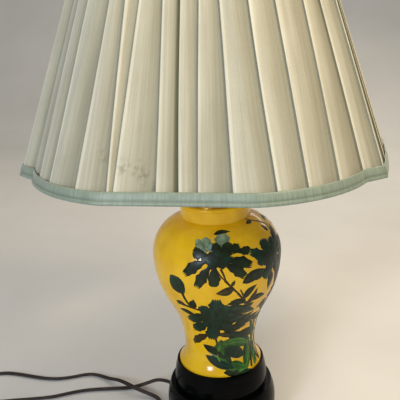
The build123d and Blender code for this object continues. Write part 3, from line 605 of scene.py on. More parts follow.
class Petal(Stroke):
    """A petal: it fans out, with a wavy edge and a lobed tip."""

    def swell(self, share: float) -> float:
        """Widens to about two thirds of the way, then rounds off."""
        fan = 0.3 + 0.7 * smooth_step(share / 0.65) - 0.5 * max(0.0, (share - 0.65) / 0.35) ** 2
        return fan * (1 + 0.12 * math.sin(21 * share + self.width))

    def reach(self, share: float, off: float) -> float:
        """Notches the tip into lobes."""
        return share * (0.93 - 0.07 * math.cos(4 * math.pi * off + self.width))


class Leaf(Stroke):
    """A leaf: pointed, broadest near its stalk, with a lighter vein."""

    vein: ClassVar[float] = 1.5

    def swell(self, share: float) -> float:
        """Swells soon and draws out to a point."""
        return max(0.03, math.sin(math.pi * share ** 0.8)) ** 0.9


class Stem(Stroke):
    """A stem: a line that thins."""

    def swell(self, share: float) -> float:
        """Thins evenly."""
        return 1 - 0.35 * share


class Bud(Stroke):
    """A bud: round."""

    def swell(self, share: float) -> float:
        """Rounds off at both ends."""
        return max(0.03, math.sin(math.pi * share)) ** 0.6


@dataclass(frozen=True)
class Spray:
    """A spray of strokes on the vase.

    Attributes:
        name: The spray's name.
        turn: Angle of its middle from the front, towards the right, in degrees.
        height: Height of its middle in mm.
        strokes: Its strokes, undermost first.
    """

    name: str
    turn: float
    height: float
    strokes: tuple[Stroke, ...]


UPPER_PEONY = (
    Petal(Tint.PALE, 6, 5, 6, 28, 18), Petal(Tint.PALE, -10, 6, -22, 20, 10, 2),
    Petal(Tint.PALE, -7, 6, -13, 23, 11), Leaf(Tint.DARK, -3, 26, 15, 28, 7, 2),
    Petal(Tint.MIST, -3, 3, -9, 17, 11), Petal(Tint.DARK, -11, 3, -27, 5, 15),
    Petal(Tint.DARK, 12, 5, 25, 10, 12), Petal(Tint.DARK, 20, 5, 38, 3, 10),
    Petal(Tint.DARK, 8, -4, 39, -13, 13, 2), Petal(Tint.DARK, 6, -7, 31, -25, 13, 2),
    Petal(Tint.DARK, -10, -3, -38, -21, 13, -2), Petal(Tint.DARK, -7, -8, -24, -35, 13, -1),
    Petal(Tint.DARK, -3, -8, -5, -34, 14), Petal(Tint.DARK, 2, 2, -4, 16, 14),
    Petal(Tint.DARK, 6, 2, 14, 16, 14), Petal(Tint.DARK, -17, -2, 18, 1, 25),
    Petal(Tint.DARK, -9, -11, 10, 9, 23), Petal(Tint.TEAL, -1, -9, -13, -1, 9),
    Petal(Tint.TEAL, 3, -7, 14, 1, 9), Petal(Tint.TEAL, 0, -4, 1, 11, 9),
)
PEONY_STEM = (
    Stem(Tint.STEM, 3, -12, 8, -26, 2.8, 0.5), Stem(Tint.STEM, -2, -12, 8, -26, 2.4, -0.8),
    Stem(Tint.STEM, 7, -25, 14, -34, 3.4), Stem(Tint.STEM, 13, -33, 22, -44, 3.4),
    Stem(Tint.STEM, 21, -43, 29, -56, 3.2), Leaf(Tint.BROWN, 17, -35, -3, -41, 11, 1.5),
    Leaf(Tint.STEM, 14, -33, 18, -26, 4.5), Leaf(Tint.DARK, 26, -31, 57, -22, 14, 2),
    Leaf(Tint.DARK, 27, -52, 44, -37, 9, 2), Leaf(Tint.DARK, 29, -57, 12, -53, 8, -1.5),
)
BUD = (
    Bud(Tint.TEAL, 7, -10, -9, 9, 23), Bud(Tint.DARK, 6, -8, -6, 6, 8),
    Stem(Tint.DARK, 4, -8, 11, -30, 4.4, -1), Stem(Tint.STEM, -8, -27, 20, -32, 4.6, 1),
    Leaf(Tint.DARK, 9, -31, 17, -16, 10, -1), Leaf(Tint.BROWN, -9, -25, 6, -29, 7, 1),
    Leaf(Tint.DARK, -8, -37, 14, -45, 9, 1.5),
)
LOWER_PEONY = (
    Petal(Tint.BROWN, -5, -24, -32, -44, 11, -2), Leaf(Tint.BROWN, 0, -25, 20, -31, 8, 1),
    Stem(Tint.STEM, -3, -28, 0, -52, 3.0, 1), Petal(Tint.TEAL, 0, 6, 2, 35, 18),
    Petal(Tint.TEAL, -3, 5, -17, 24, 15), Petal(Tint.TEAL, -6, 1, -36, -6, 16, -1),
    Petal(Tint.TEAL, 4, 6, 15, 25, 14), Petal(Tint.TEAL, 5, 3, 23, 8, 14),
    Petal(Tint.TEAL, -2, -5, -6, -35, 18), Petal(Tint.TEAL, -6, -4, -29, -23, 15),
    Petal(Tint.TEAL, 4, -4, 17, -22, 15), Petal(Tint.TEAL, -24, 4, 22, 0, 38),
    Petal(Tint.TEAL, -4, -24, 1, 26, 34), Petal(Tint.DARK, -3, -1, -22, 7, 10),
    Petal(Tint.DARK, 3, 0, 17, -3, 9), Petal(Tint.DARK, -1, 0, 3, 20, 8),
)
LEAF_CLUSTER = (
    Stem(Tint.STEM, -8, -22, 6, 12, 3.2, 1.5), Stem(Tint.STEM, 4, 8, -4, 30, 3.0, -1),
    Leaf(Tint.DARK, -17, 12, 6, 10, 7, 1.5), Leaf(Tint.TEAL, -20, 4, 8, 2, 12, 1.5),
    Leaf(Tint.DARK, -14, -14, 16, 7, 17, 2), Leaf(Tint.DARK, -24, -8, 2, -22, 13, 2),
    Leaf(Tint.TEAL, -4, -2, 20, -8, 12, 2), Leaf(Tint.BROWN, 5, 5, 18, 27, 8, -1.5),
    Leaf(Tint.DARK, 11, 12, 32, 12, 9, 2), Leaf(Tint.TEAL, -14, -22, 10, -10, 12, 1.5),
    Leaf(Tint.DARK, -2, -30, 20, -10, 13, 1.5), Leaf(Tint.TEAL, 8, -28, 32, -17, 11, 1),
    Leaf(Tint.DARK, -24, -28, 4, -32, 10, 1),
)
FOOT_LEAVES = (
    Leaf(Tint.DARK, -18, 22, 9, 27, 14, 3), Leaf(Tint.DARK, -4, 15, 32, 8, 15, 1.5),
    Stem(Tint.LEAF, 16, 30, 24, -39, 6.0, 4), Stem(Tint.DARK, 24, 26, 15, -38, 5.0, 5),
    Stem(Tint.LEAF, 36, 26, 26, -37, 7.0, 2), Stem(Tint.DARK, 46, 20, 36, -37, 5.0, 2),
    Leaf(Tint.TEAL, 22, -4, 36, -34, 8, 2), Leaf(Tint.TEAL, -16, 20, 20, 0, 14, 1),
    Leaf(Tint.LEAF, -26, 2, 23, -8, 17, 7), Leaf(Tint.LEAF, -20, 11, -9, -34, 18, -6),
    Leaf(Tint.LEAF, 14, 7, 4, -38, 15, 6), Leaf(Tint.LEAF, -20, -21, 13, -31, 14, -4),
    Leaf(Tint.TEAL, -14, 2, 8, -10, 7, 1), Leaf(Tint.TEAL, -15, -3, -7, -26, 8, -1),
    Leaf(Tint.TEAL, 14, 0, 9, -24, 4), Bud(Tint.TEAL, -14, -3, 9, -16, 15),
    Leaf(Tint.LEAF, -10, -21, 9, -29, 9), Bud(Tint.DARK, -10, -6, 4, -12, 5),
    Leaf(Tint.FRESH, -22, 4, 18, -4, 3.5, 9), Leaf(Tint.FRESH, 13, 3, 7, -32, 3.5, 7),
    Leaf(Tint.FRESH, -19, 6, -11, -30, 3.5, -8), Leaf(Tint.FRESH, -16, -24, 10, -31, 3, -5),
    Leaf(Tint.FRESH, 33, 8, 20, -34, 3.5, 4), Leaf(Tint.DARK, -40, 2, -12, -18, 11, 1.5),
    Leaf(Tint.PALE, -35, -6, -19, -15, 2.4), Leaf(Tint.TEAL, -37, -12, -3, -29, 12, -1),
    Leaf(Tint.DARK, -20, -31, 8, -36, 9), Leaf(Tint.TEAL, -8, -35, 20, -38, 8, 1),
)
RIGHT_PEONY = (
    Stem(Tint.STEM, 8, -14, 20, -56, 3.2, 2), Stem(Tint.STEM, 22, 10, 22, 34, 3.0),
    Stem(Tint.STEM, 22, 33, 11, 44, 2.8, -0.5), Stem(Tint.STEM, 11, 43, 2, 54, 2.4, 0.5),
    Leaf(Tint.DARK, 16, 27, 10, 37, 6), Leaf(Tint.DARK, 6, 49, -6, 46, 6),
    Leaf(Tint.DARK, 22, 22, 33, 30, 6), Leaf(Tint.DARK, -12, -14, -34, -15, 12, -1.5),
    Leaf(Tint.DARK, 1, -15, 0, -38, 12, 1), Leaf(Tint.DARK, 10, -15, 31, -25, 11, 1),
    Leaf(Tint.DARK, 14, -16, 24, -50, 15, 1), Leaf(Tint.TEAL, 20, -34, 9, -68, 12, 1),
    Stem(Tint.STEM, 28, -22, 20, -66, 6, 1), Leaf(Tint.DARK, 6, -52, -8, -62, 9, 1),
    Petal(Tint.DARK, 15, 4, 36, 12, 18), Petal(Tint.TEAL, 15, -4, 37, -14, 18),
    Petal(Tint.DARK, 12, 8, 31, 27, 15), Petal(Tint.TEAL, -2, 6, -5, 24, 15),
    Petal(Tint.TEAL, -5, 6, -28, 15, 13, 1), Petal(Tint.TEAL, -4, 1, -22, 4, 14),
    Petal(Tint.TEAL, -2, -5, -10, -22, 15), Petal(Tint.DARK, 1, 1, 20, 7, 15),
    Petal(Tint.TEAL, 2, -3, 20, -18, 16), Petal(Tint.TEAL, 5, 3, 15, 21, 14),
    Petal(Tint.DARK, -17, 2, 19, 1, 30), Petal(Tint.TEAL, -3, -20, 3, 22, 28),
    Petal(Tint.DARK, -3, 2, -14, 9, 9), Petal(Tint.DARK, 2, -2, 14, -8, 9),
)


@dataclass
class Vase:
    """The glazed vase and the flowers painted on it.

    Attributes:
        sprays: The painted sprays; those past the right edge of the photograph repeat the front's.
        foot: Height in mm where the painting may start.
        lip: Height in mm where it has to end.
        lift: How thick the enamel stands, in mm.
        layer: How much higher each stroke stands than the one before it, in mm.
        sink: How far a stroke's edge lies under the glaze, in mm.
        rows: Rows of points along a stroke.
        columns: Points in a row.
    """

    sprays: tuple[Spray, ...] = (
        Spray("upper_stem", 9.0, 230.6, PEONY_STEM),
        Spray("upper_peony", 9.0, 230.6, UPPER_PEONY),
        Spray("bud", -28.5, 196.6, BUD),
        Spray("foot_leaves", 37.0, 110.6, FOOT_LEAVES),
        Spray("leaf_cluster", 31.3, 164.3, LEAF_CLUSTER),
        Spray("lower_peony", 5.4, 152.4, LOWER_PEONY),
        Spray("right_peony", 61.5, 217.9, RIGHT_PEONY),
        Spray("side_leaves", 84.0, 166.0, LEAF_CLUSTER),
        Spray("side_stem", 98.0, 214.0, PEONY_STEM),
        Spray("side_peony", 98.0, 208.0, RIGHT_PEONY),
        Spray("side_bud", 128.0, 186.0, BUD),
        Spray("back_stem", 182.0, 226.0, PEONY_STEM),
        Spray("back_peony", 182.0, 226.0, UPPER_PEONY),
        Spray("back_leaves", 205.0, 160.0, LEAF_CLUSTER),
        Spray("back_bud", 236.0, 196.0, BUD),
    )
    foot: float = 72.0
    lip: float = 266.0
    lift: float = 0.28
    layer: float = 0.015
    sink: float = 0.05
    rows: int = 13
    columns: int = 9

    def __post_init__(self) -> None:
        """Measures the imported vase's outline, from its foot to its neck."""
        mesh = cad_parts["vase_body"].data
        faces = [tuple(face.vertices) for face in mesh.polygons]
        self.tree = BVHTree.FromPolygons([v.co for v in mesh.vertices], faces)
        self.heights = np.arange(self.foot, self.lip + 1)
        self.radii = np.array([self.radius_at(0.0, height) for height in self.heights.tolist()])
        self.lengths = np.concatenate(([0.0], np.cumsum(np.hypot(1.0, np.diff(self.radii)))))

    def radius_at(self, turn: float, height: float) -> float:
        """Measures the vase's radius.

        Args:
            turn: Angle from the front in radians.
            height: Height in mm.

        Returns:
            The radius in mm.
        """
        way = Vector((math.sin(turn), -math.cos(turn), 0))
        outside = way * 0.2 + Vector((0, 0, height * MM))
        return self.tree.ray_cast(outside, -way)[0].xy.length / MM

    def point(self, spray: Spray, across: float, upward: float, lift: float) -> Vector:
        """A point of a spray on the vase's surface.

        Args:
            spray: The spray.
            across: Distance to the right of its middle, in mm along the surface.
            upward: Distance above its middle, in mm along the surface.
            lift: Height over the glaze in mm.

        Returns:
            The point in metres.
        """
        middle = np.interp(spray.height, self.heights, self.lengths)
        height = float(np.interp(middle + upward, self.lengths, self.heights))
        radius, above = np.interp((height, height + 1), self.heights, self.radii).tolist()
        turn = math.radians(spray.turn) + across / radius
        slope = above - radius
        tilt = math.hypot(1.0, slope)
        reach = self.radius_at(turn, height) + lift / tilt
        return Vector((reach * math.sin(turn), -reach * math.cos(turn), height - lift * slope / tilt)) * MM

    def paint(self, spray: Spray) -> None:
        """Builds a spray's strokes as thin domed patches whose edges meet the glaze.

        Args:
            spray: The spray.
        """
        points, faces, tints = [], [], []
        patch = grid_faces(self.rows, self.columns, closed=False)
        for number, stroke in enumerate(spray.strokes):
            start = Vector((stroke.across, stroke.upward))
            end = Vector((stroke.end_across, stroke.end_upward))
            way = (end - start).normalized()
            left = Vector((-way.y, way.x))
            faces += [tuple(len(points) + k for k in face) for face in patch]
            for r in range(self.rows):
                share = r / (self.rows - 1)
                bow = stroke.bend * math.sin(math.pi * share)
                for c in range(self.columns):
                    off = 2 * c / (self.columns - 1) - 1
                    sideways = off * stroke.width / 2 * stroke.swell(share) + bow
                    place = start.lerp(end, stroke.reach(share, off)) + left * sideways
                    # Thick along the middle, thin at the edges and at both ends
                    dome = (1 - off * off) * math.sin(math.pi * (0.06 + 0.88 * share))
                    lift = (self.lift + self.layer * number) * max(0.0, dome) ** 0.5 - self.sink
                    points.append(self.point(spray, place.x, place.y, lift))
                    # Thinner and lighter towards the end of the stroke
                    vein = stroke.vein if c == self.columns // 2 else 1.0
                    shade = (0.65 + 0.75 * share * share) * (1.15 - 0.4 * abs(off)) * vein
                    red, green, blue, alpha = linear(stroke.tint.value)
                    tints.append((red * shade, green * shade, blue * shade, alpha))
        piece = build_piece(spray.name, points, faces, "lamp", ENAMEL)
        set_values(piece, "tint", tints)

    def build(self) -> None:
        """Glazes the vase and paints its sprays."""
        YELLOW_GLAZE.dress("vase_body")
        for spray in self.sprays:
            self.paint(spray)


@dataclass
class Base:
    """The turned base with its felt, washer, nut and tube.

    Attributes:
        felt_radius: Radius of the felt disc in mm.
        fray: How far its cut edge frays, in mm.
    """

    felt_radius: float = 58.0
    fray: float = 0.25

    # From the felt's middle below to its middle above: distance in from its edge, and height, in mm
    felt_rings: ClassVar[tuple[Pair, ...]] = (
        (58.0, 0.0), (38.0, 0.0), (13.0, 0.0), (0.8, 0.05), (0.1, 0.5), (0.0, 1.2), (0.4, 1.95),
        (13.0, 2.0), (38.0, 2.0), (57.5, 2.0),
    )

    def felt(self) -> None:
        """Lays a felt disc under the base, with a soft cut edge."""
        count = 64
        points = []
        rng = random.Random(4)
        for inset, height in self.felt_rings:
            for turn in circle(count):
                reach = self.felt_radius - inset - (rng.uniform(0, self.fray) if inset < 1 else 0)
                points.append(Vector((reach * math.cos(turn), reach * math.sin(turn), height)) * MM)
        faces = grid_faces(len(self.felt_rings), count)
        pad = build_piece("felt_disc", points, faces, "lamp", GREEN_FELT)
        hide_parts("felt_pad")

    def build(self) -> None:
        """Dresses the base and lays its felt."""
        BLACK_LACQUER.dress("wood_base")
        ZINC_STEEL.dress("base_washer", "base_nut", "threaded_rod", "saddle_nut")
        RUBBER.dress("seat_gasket")
        BLACK_PLASTIC.dress("cord_bushing")
        self.felt()


@dataclass
class Fittings:
    """Brass work, socket, switch, bulb, harp and finial.

    Attributes:
        knob_front: Distance of the knob's inner end from the lamp's axis, in mm.
        knob_height: Height of its axis in mm.
        flutes: Number of flutes round it.
    """

    knob_front: float = 23.3
    knob_height: float = 338.2
    flutes: int = 14

    # Along the knob from its inner end: distance, radius and depth of the flutes, in mm
    knob_rings: ClassVar[tuple[Triple, ...]] = (
        (0.0, 0.0, 0.0), (0.0, 3.7, 0.0), (0.3, 4.0, 0.0), (4.6, 4.0, 0.0), (5.4, 4.3, 0.0),
        (6.4, 4.9, 0.3), (9.0, 5.4, 0.42), (13.2, 5.95, 0.42), (14.3, 5.8, 0.25), (14.8, 5.2, 0.0),
        (15.0, 3.5, 0.0), (14.7, 2.0, 0.0), (14.6, 0.0, 0.0),
    )

    def knob(self) -> None:
        """Turns a fluted knob on the switch's stem."""
        count = self.flutes * 8
        points = []
        for along, radius, flute in self.knob_rings:
            for turn in circle(count):
                reach = radius - flute * (0.5 + 0.5 * math.cos(self.flutes * turn))
                height = self.knob_height + reach * math.sin(turn)
                points.append(Vector((reach * math.cos(turn), -self.knob_front - along, height)) * MM)
        faces = grid_faces(len(self.knob_rings), count)
        knob = build_piece("fluted_knob", points, faces, "switch", PHENOLIC)
        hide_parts("switch_knob")

    def build(self) -> None:
        """Dresses the fittings."""
        SPUN_BRASS.dress("vase_cap", "neck_tube", "socket_cap", "socket_shell", "finial", "harp_stud")
        PLATED_WIRE.dress("harp_saddle", "harp_wire", "switch_stem")
        PLATED_WIRE.dress("harp_ferrule_left", "harp_ferrule_right")
        FIBRE_CARD.dress("socket_liner")
        PHENOLIC.dress("socket_body")
        PLUG_BRASS.dress("terminal_screws", "screw_shell", "centre_contact")
        CAP_ALUMINIUM.dress("bulb_base", "bulb_contact")
        VITRITE.dress("bulb_insulator")
        FROSTED_GLASS.dress("bulb_glass")
        FILAMENT.dress("bulb_filament")
        self.knob()


@dataclass
class ShadePlan:
    """The shade's plan: flat front and back panels with rounded ends, and side panels beside them.

    Attributes:
        front: Distance of the front panel's middle from the axis, in mm at the bottom.
        side: Distance of the side panel's middle.
        bend: Angle from the front panel's middle in degrees, and distance, where its end begins to round.
        curve: Angle and distance half way round the end.
        notch: Angle and distance of the fold beside the side panel.
        step: Angle and distance of the side panel's end.
        top_share: How wide the shade is at the top, against the bottom.
        low: Height of the bottom edge in mm.
        high: Height of the top edge in mm.
    """

    front: float = 204.0
    side: float = 179.0
    bend: Pair = (17.5, 214.2)
    curve: Pair = (36.6, 211.4)
    notch: Pair = (49.4, 200.2)
    step: Pair = (55.9, 205.8)
    top_share: float = 116.5 / 204.0
    low: float = 330.2
    high: float = 568.5

    def flat(self, turn: float, reach: float) -> Vector:
        """A plan point at an angle from the front and a distance from the axis."""
        return Vector((reach * math.sin(math.radians(turn)), -reach * math.cos(math.radians(turn))))

    def arc(self, turn: float, stations: Sequence[Pair]) -> float:
        """How far out the arc through three stations is at an angle.

        Args:
            turn: The angle from the front in degrees.
            stations: Three angles and distances.

        Returns:
            The distance from the axis in mm.
        """
        a, b, c = [self.flat(*station) for station in stations]
        # The middle of the circle through the three
        twice = 2 * (a.x * (b.y - c.y) + b.x * (c.y - a.y) + c.x * (a.y - b.y))
        x = (a.dot(a) * (b.y - c.y) + b.dot(b) * (c.y - a.y) + c.dot(c) * (a.y - b.y)) / twice
        y = (a.dot(a) * (c.x - b.x) + b.dot(b) * (a.x - c.x) + c.dot(c) * (b.x - a.x)) / twice
        middle = Vector((x, y))
        # Where the ray at the angle meets the circle, on the stations' side
        along = self.flat(turn, 1.0).dot(middle)
        half = math.sqrt(max(0.0, along ** 2 - middle.dot(middle) + (a - middle).dot(a - middle)))
        return min((along + half, along - half), key=lambda reach: abs(reach - stations[1][1]))

    def reach(self, turn: float) -> float:
        """How far out the plan is at the bottom.

        Args:
            turn: The angle from the front in degrees.

        Returns:
            The distance from the axis in mm.
        """
        away = abs((turn + 90) % 180 - 90)
        if away <= self.bend[0]:
            return self.arc(away, ((-self.bend[0], self.bend[1]), (0, self.front), self.bend))
        if away <= self.notch[0]:
            return self.arc(away, (self.bend, self.curve, self.notch))
        if away < self.step[0]:
            share = (away - self.notch[0]) / (self.step[0] - self.notch[0])
            return self.notch[1] + (self.step[1] - self.notch[1]) * share
        return self.arc(away, (self.step, (90, self.side), (180 - self.step[0], self.step[1])))

    def point(self, turn: float, height: float, inset: float) -> Vector:
        """A point of the shade.

        Args:
            turn: The angle from the front in degrees.
            height: Its height in mm.
            inset: Its depth behind the pleats' crests in mm.

        Returns:
            The point in metres.
        """
        taper = 1 - (1 - self.top_share) * (height - self.low) / (self.high - self.low)
        place = self.flat(turn, self.reach(turn) * taper - inset)
        return Vector((place.x, place.y, height)) * MM

    def stations(self, spacing: float) -> list[float]:
        """Lists angles round the plan, with one at each of its corners.

        Args:
            spacing: About how far apart they are, in degrees.

        Returns:
            The angles in degrees.
        """
        corners = [0.0]
        for half in (0, 180):
            for turn in (self.bend[0], self.notch[0], self.step[0], 90):
                corners += [half + turn, half + 180 - turn]
        corners = sorted(set(round(c % 360, 3) for c in corners)) + [360.0]
        turns = []
        for near, far in zip(corners, corners[1:]):
            count = max(1, round((far - near) / spacing))
            turns += [near + (far - near) * k / count for k in range(count)]
        return turns


@dataclass
class Shade:
    """The pleated shade: cover, lining, bindings and wire frame.

    Attributes:
        plan: The shade's plan.
        front_folds: Angles of the front panel's folds at the bottom, and how far each turns by the top.
        ridge: Which of them stands up as a narrow ridge.
        groove: Which of them has the deep groove of the middle rib at its right.
        groove_depth: How much deeper the groove is than a pleat.
        side_folds: Number of pleats in a side panel.
        wander: How far a fold wanders on its way up, in degrees.
        depth: Depth of a pleat at the bottom in mm.
        top_depth: Depth at the top in mm.
        edge: How far the cloth stays inside the bindings' edges, in mm.
        lining_inset: Depth of the lining behind the crests in mm.
        lining_edge: How far the lining stays under the top edge, in mm.
        rows: Number of strips up the cover.
        lining_rows: Number of rows of points up the lining.
        lining_round: Mean radius of the lining in metres, for its weave.
        tape_round: Mean radius of the bindings in metres, for theirs.
        crease: Height of the bindings' sewn crease from the edge, in mm.
    """

    plan: ShadePlan
    front_folds: tuple[Pair, ...] = (
        (-49.4, 0.0), (-41.0, 0.2), (-34.4, 1.4), (-24.3, 1.5), (-15.8, -2.9), (-14.7, 2.3), (-4.85, -1.3),
        (0.55, -1.0), (4.85, 1.4), (12.85, -1.4), (22.1, -2.3), (29.7, -1.5), (38.4, 2.0),
    )
    ridge: int = 4
    groove: int = 6
    groove_depth: float = 1.3
    side_folds: int = 8
    wander: float = 0.16
    depth: float = 3.0
    top_depth: float = 2.2
    edge: float = 1.1
    lining_inset: float = 8.9
    lining_edge: float = 5.0
    rows: int = 26
    lining_rows: int = 9
    lining_round: float = 0.18
    tape_round: float = 0.2
    crease: float = 3.9

    # Across a pleat, as shares of its width and depth: a rounded fold edge, a broad flat band, then a drop
    section: ClassVar[tuple[Pair, ...]] = (
        (0.0, 0.09), (0.015, 0.02), (0.05, 0.0), (0.16, 0.03), (0.3, 0.09), (0.42, 0.2), (0.52, 0.38),
        (0.6, 0.62), (0.69, 0.83), (0.82, 0.93), (1.0, 0.97),
    )
    # Across the pleat that stands up: a narrow ridge and a dip beside it
    ridge_section: ClassVar[tuple[Pair, ...]] = (
        (0.0, 0.25), (0.05, -0.12), (0.14, -0.3), (0.24, -0.24), (0.32, 0.1), (0.4, 0.5), (0.54, 0.7),
        (0.75, 0.82), (1.0, 0.95),
    )
    # Under the next fold: degrees past it, and share of the pleat's depth
    tuck: ClassVar[tuple[Pair, ...]] = ((0.06, 0.95), (0.1, 0.7), (0.09, 0.4), (0.03, 0.17))
    # Round a binding from its outer hem: depth behind the crests, and distance from the shade's edge, in mm
    tape_section: ClassVar[tuple[Pair, ...]] = (
        (-0.8, 10.95), (-1.3, 10.7), (-1.5, 9.9), (-1.6, 8.2), (-1.55, 6.2), (-1.35, 4.6), (-1.0, 3.9),
        (-1.4, 3.2), (-1.55, 2.0), (-1.3, 0.8), (-0.5, 0.1), (1.5, 0.0), (5.0, 0.0), (8.8, 0.05),
        (9.9, 0.5), (10.25, 1.6), (10.3, 6.0), (10.2, 10.4), (9.9, 10.9), (9.45, 10.8), (9.4, 6.0),
        (9.4, 1.5), (8.8, 1.05), (5.0, 1.0), (0.5, 1.0), (-0.5, 1.4), (-0.6, 6.0), (-0.55, 10.5),
    )

    def folds(self) -> list[Pair]:
        """Lists all the folds in order, from the front panel's left end.

        Returns:
            Each fold's angle at the bottom and how far it turns by the top, in degrees.
        """
        side_start, side_end = self.plan.step[0], 180 - self.plan.step[0]
        width = (side_end - side_start) / self.side_folds
        half = list(self.front_folds) + [(self.plan.notch[0], 0.0)]
        half += [(side_start + k * width, 0.0) for k in range(self.side_folds)] + [(side_end, 0.0)]
        return half + [(180 + turn, lean) for turn, lean in half]

    def shadow(self, k: int, share: float, sink: float, grooved: bool) -> float:
        """How much painted shade a point of a pleat gets, with its crests left light as painted highlights.

        Args:
            k: The pleat's number.
            share: The point's share of the pleat's width.
            sink: Its share of the pleat's depth.
            grooved: Whether it lies in the deep groove.

        Returns:
            From 0 on a crest to 1 deep in the groove.
        """
        # Painted shade: each band darkens towards the next fold and the groove goes darkest; crests and the
        # ridge stay light as painted highlights
        crest = share < 0.06 or (k == self.ridge and share < 0.3)
        band = 0.0 if crest else 0.25 + 0.34 * share + 0.12 * smooth_step((sink - 0.05) / 0.8)
        return max(band, smooth_step((sink - 0.3) / 0.6)) if grooved else band

    def cover(self) -> None:
        """Pleats the cover from one sheet, each fold with its own slackness."""
        rng = random.Random(11)
        folds = self.folds()
        slack = [
            (rng.uniform(0.06, 0.2), rng.uniform(0.8, 1.9), rng.uniform(0, 6.3), rng.uniform(0, 6.3))
            for _ in folds
        ]
        low, high = self.plan.low + self.edge, self.plan.high - self.edge
        points, painted_shade, cloth, runs = [], [], [], []
        for r in range(self.rows + 1):
            rise = r / self.rows
            height = low + (high - low) * rise
            depth = self.depth + (self.top_depth - self.depth) * rise
            drift = [
                turn + lean * rise + (self.wander * math.sin(5 * rise + slack[k][2]) if k else 0.0)
                for k, (turn, lean) in enumerate(folds)
            ]
            for k, (fold, following) in enumerate(zip(drift, drift[1:] + [drift[0] + 360])):
                # The band sways, sags and slants a little, each pleat by its own slack
                size, waves, phase, other = slack[k]
                swing = 1.4 * math.sin(3 * rise + other)
                sag = 0.04 * math.sin(7 * rise + other) * math.sin(math.pi * rise)
                slant = 0.9 * math.sin(other) * (rise - 0.5)
                section = self.ridge_section if k == self.ridge else self.section
                places = [
                    (fold + (following - fold) * share * (1 + slant * (1 - share)), share, sink)
                    for share, sink in section
                ]
                places += [(following + past, 1.0, sink) for past, sink in self.tuck]
                for turn, share, sink in places:
                    soft = size * math.sin(math.pi * share / 0.6) if share < 0.6 else 0.0
                    wave = soft * math.sin(2 * math.pi * waves * share + phase + swing)
                    grooved = k == self.groove and share > 0.7
                    deep = depth * self.groove_depth if grooved else depth
                    place = self.plan.point(turn, height, deep * max(-0.3, sink + wave + sag))
                    if r == 0:
                        runs.append(runs[-1] + (place - points[-1]).length if points else 0.0)
                    cloth.append((runs[len(points) % len(runs)], height * MM, 0.0))
                    points.append(place)
                    painted_shade.append(self.shadow(k, share, sink, grooved))
        faces = grid_faces(self.rows + 1, len(runs))
        cover = build_piece("pleated_cover", points, faces, "shade", PLEATED_COTTON)
        set_values(cover, "painted_shade", painted_shade)
        set_values(cover, "cloth", cloth)
        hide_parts("shade_pleats")

    def lining(self) -> None:
        """Stretches the lining inside the frame's wires."""
        turns = self.plan.stations(2.5)
        low, high = self.plan.low + self.edge, self.plan.high - self.lining_edge
        points, cloth, painted_shade = [], [], []
        for r in range(self.lining_rows):
            rise = r / (self.lining_rows - 1)
            height = low + (high - low) * rise
            for turn in turns:
                slack = 0.25 * math.sin(math.radians(turn) * 16) * math.sin(math.pi * rise)
                points.append(self.plan.point(turn, height, self.lining_inset + slack))
                cloth.append((math.radians(turn) * self.lining_round, height * MM, 0.0))
                # Painted shade on the lining, darker towards its bottom edge
                painted_shade.append(0.25 * (1 - rise) ** 3)
        faces = [face[::-1] for face in grid_faces(self.lining_rows, len(turns))]
        lining = build_piece("cotton_lining", points, faces, "shade", COTTON_LINING)
        set_values(lining, "cloth", cloth)
        set_values(lining, "painted_shade", painted_shade)
        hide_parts("shade_lining")

    def tape(self, name: str, node: str, edge: float, inward: int) -> None:
        """Folds satin tape over an edge of the shade, with a sewn crease along its face.

        Args:
            name: The piece's name.
            node: The CAD node that it replaces.
            edge: Height of the shade's edge in mm.
            inward: 1 where the shade is above the edge, and -1 where it is below.
        """
        section = self.tape_section
        turns = self.plan.stations(2.0)
        points, cloth, painted_shade = [], [], []
        for turn in turns:
            around = math.radians(turn)
            slack = 0.06 * math.sin(around * 23) + 0.04 * math.sin(around * 41 + 1)
            run = 0.0
            for k, (inset, rise) in enumerate(section):
                # Only the outer face is slack and creased; its crease gets painted shade
                face = inset < -0.9
                points.append(self.plan.point(turn, edge + inward * rise, inset - slack if face else inset))
                run += math.dist(section[k], section[k - 1]) if k else 0.0
                cloth.append((around * self.tape_round, run * MM, 0.0))
                painted_shade.append(0.6 * math.exp(-((rise - self.crease) / 0.7) ** 2) if face else 0.0)
        faces = grid_faces(len(turns), len(section), looped=True)
        if inward > 0:
            faces = [face[::-1] for face in faces]
        tape = build_piece(name, points, faces, "shade", SATIN_TAPE)
        set_values(tape, "cloth", cloth)
        set_values(tape, "painted_shade", painted_shade)
        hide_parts(node)

    def build(self) -> None:
        """Covers, lines, binds and frames the shade."""
        self.cover()
        self.lining()
        self.tape("bottom_tape", "shade_bottom_binding", self.plan.low, 1)
        self.tape("top_tape", "shade_top_binding", self.plan.high, -1)
        PAINTED_WIRE.dress("shade_bottom_ring", "shade_top_ring", "shade_ribs")
        PLATED_WIRE.dress("shade_spider")


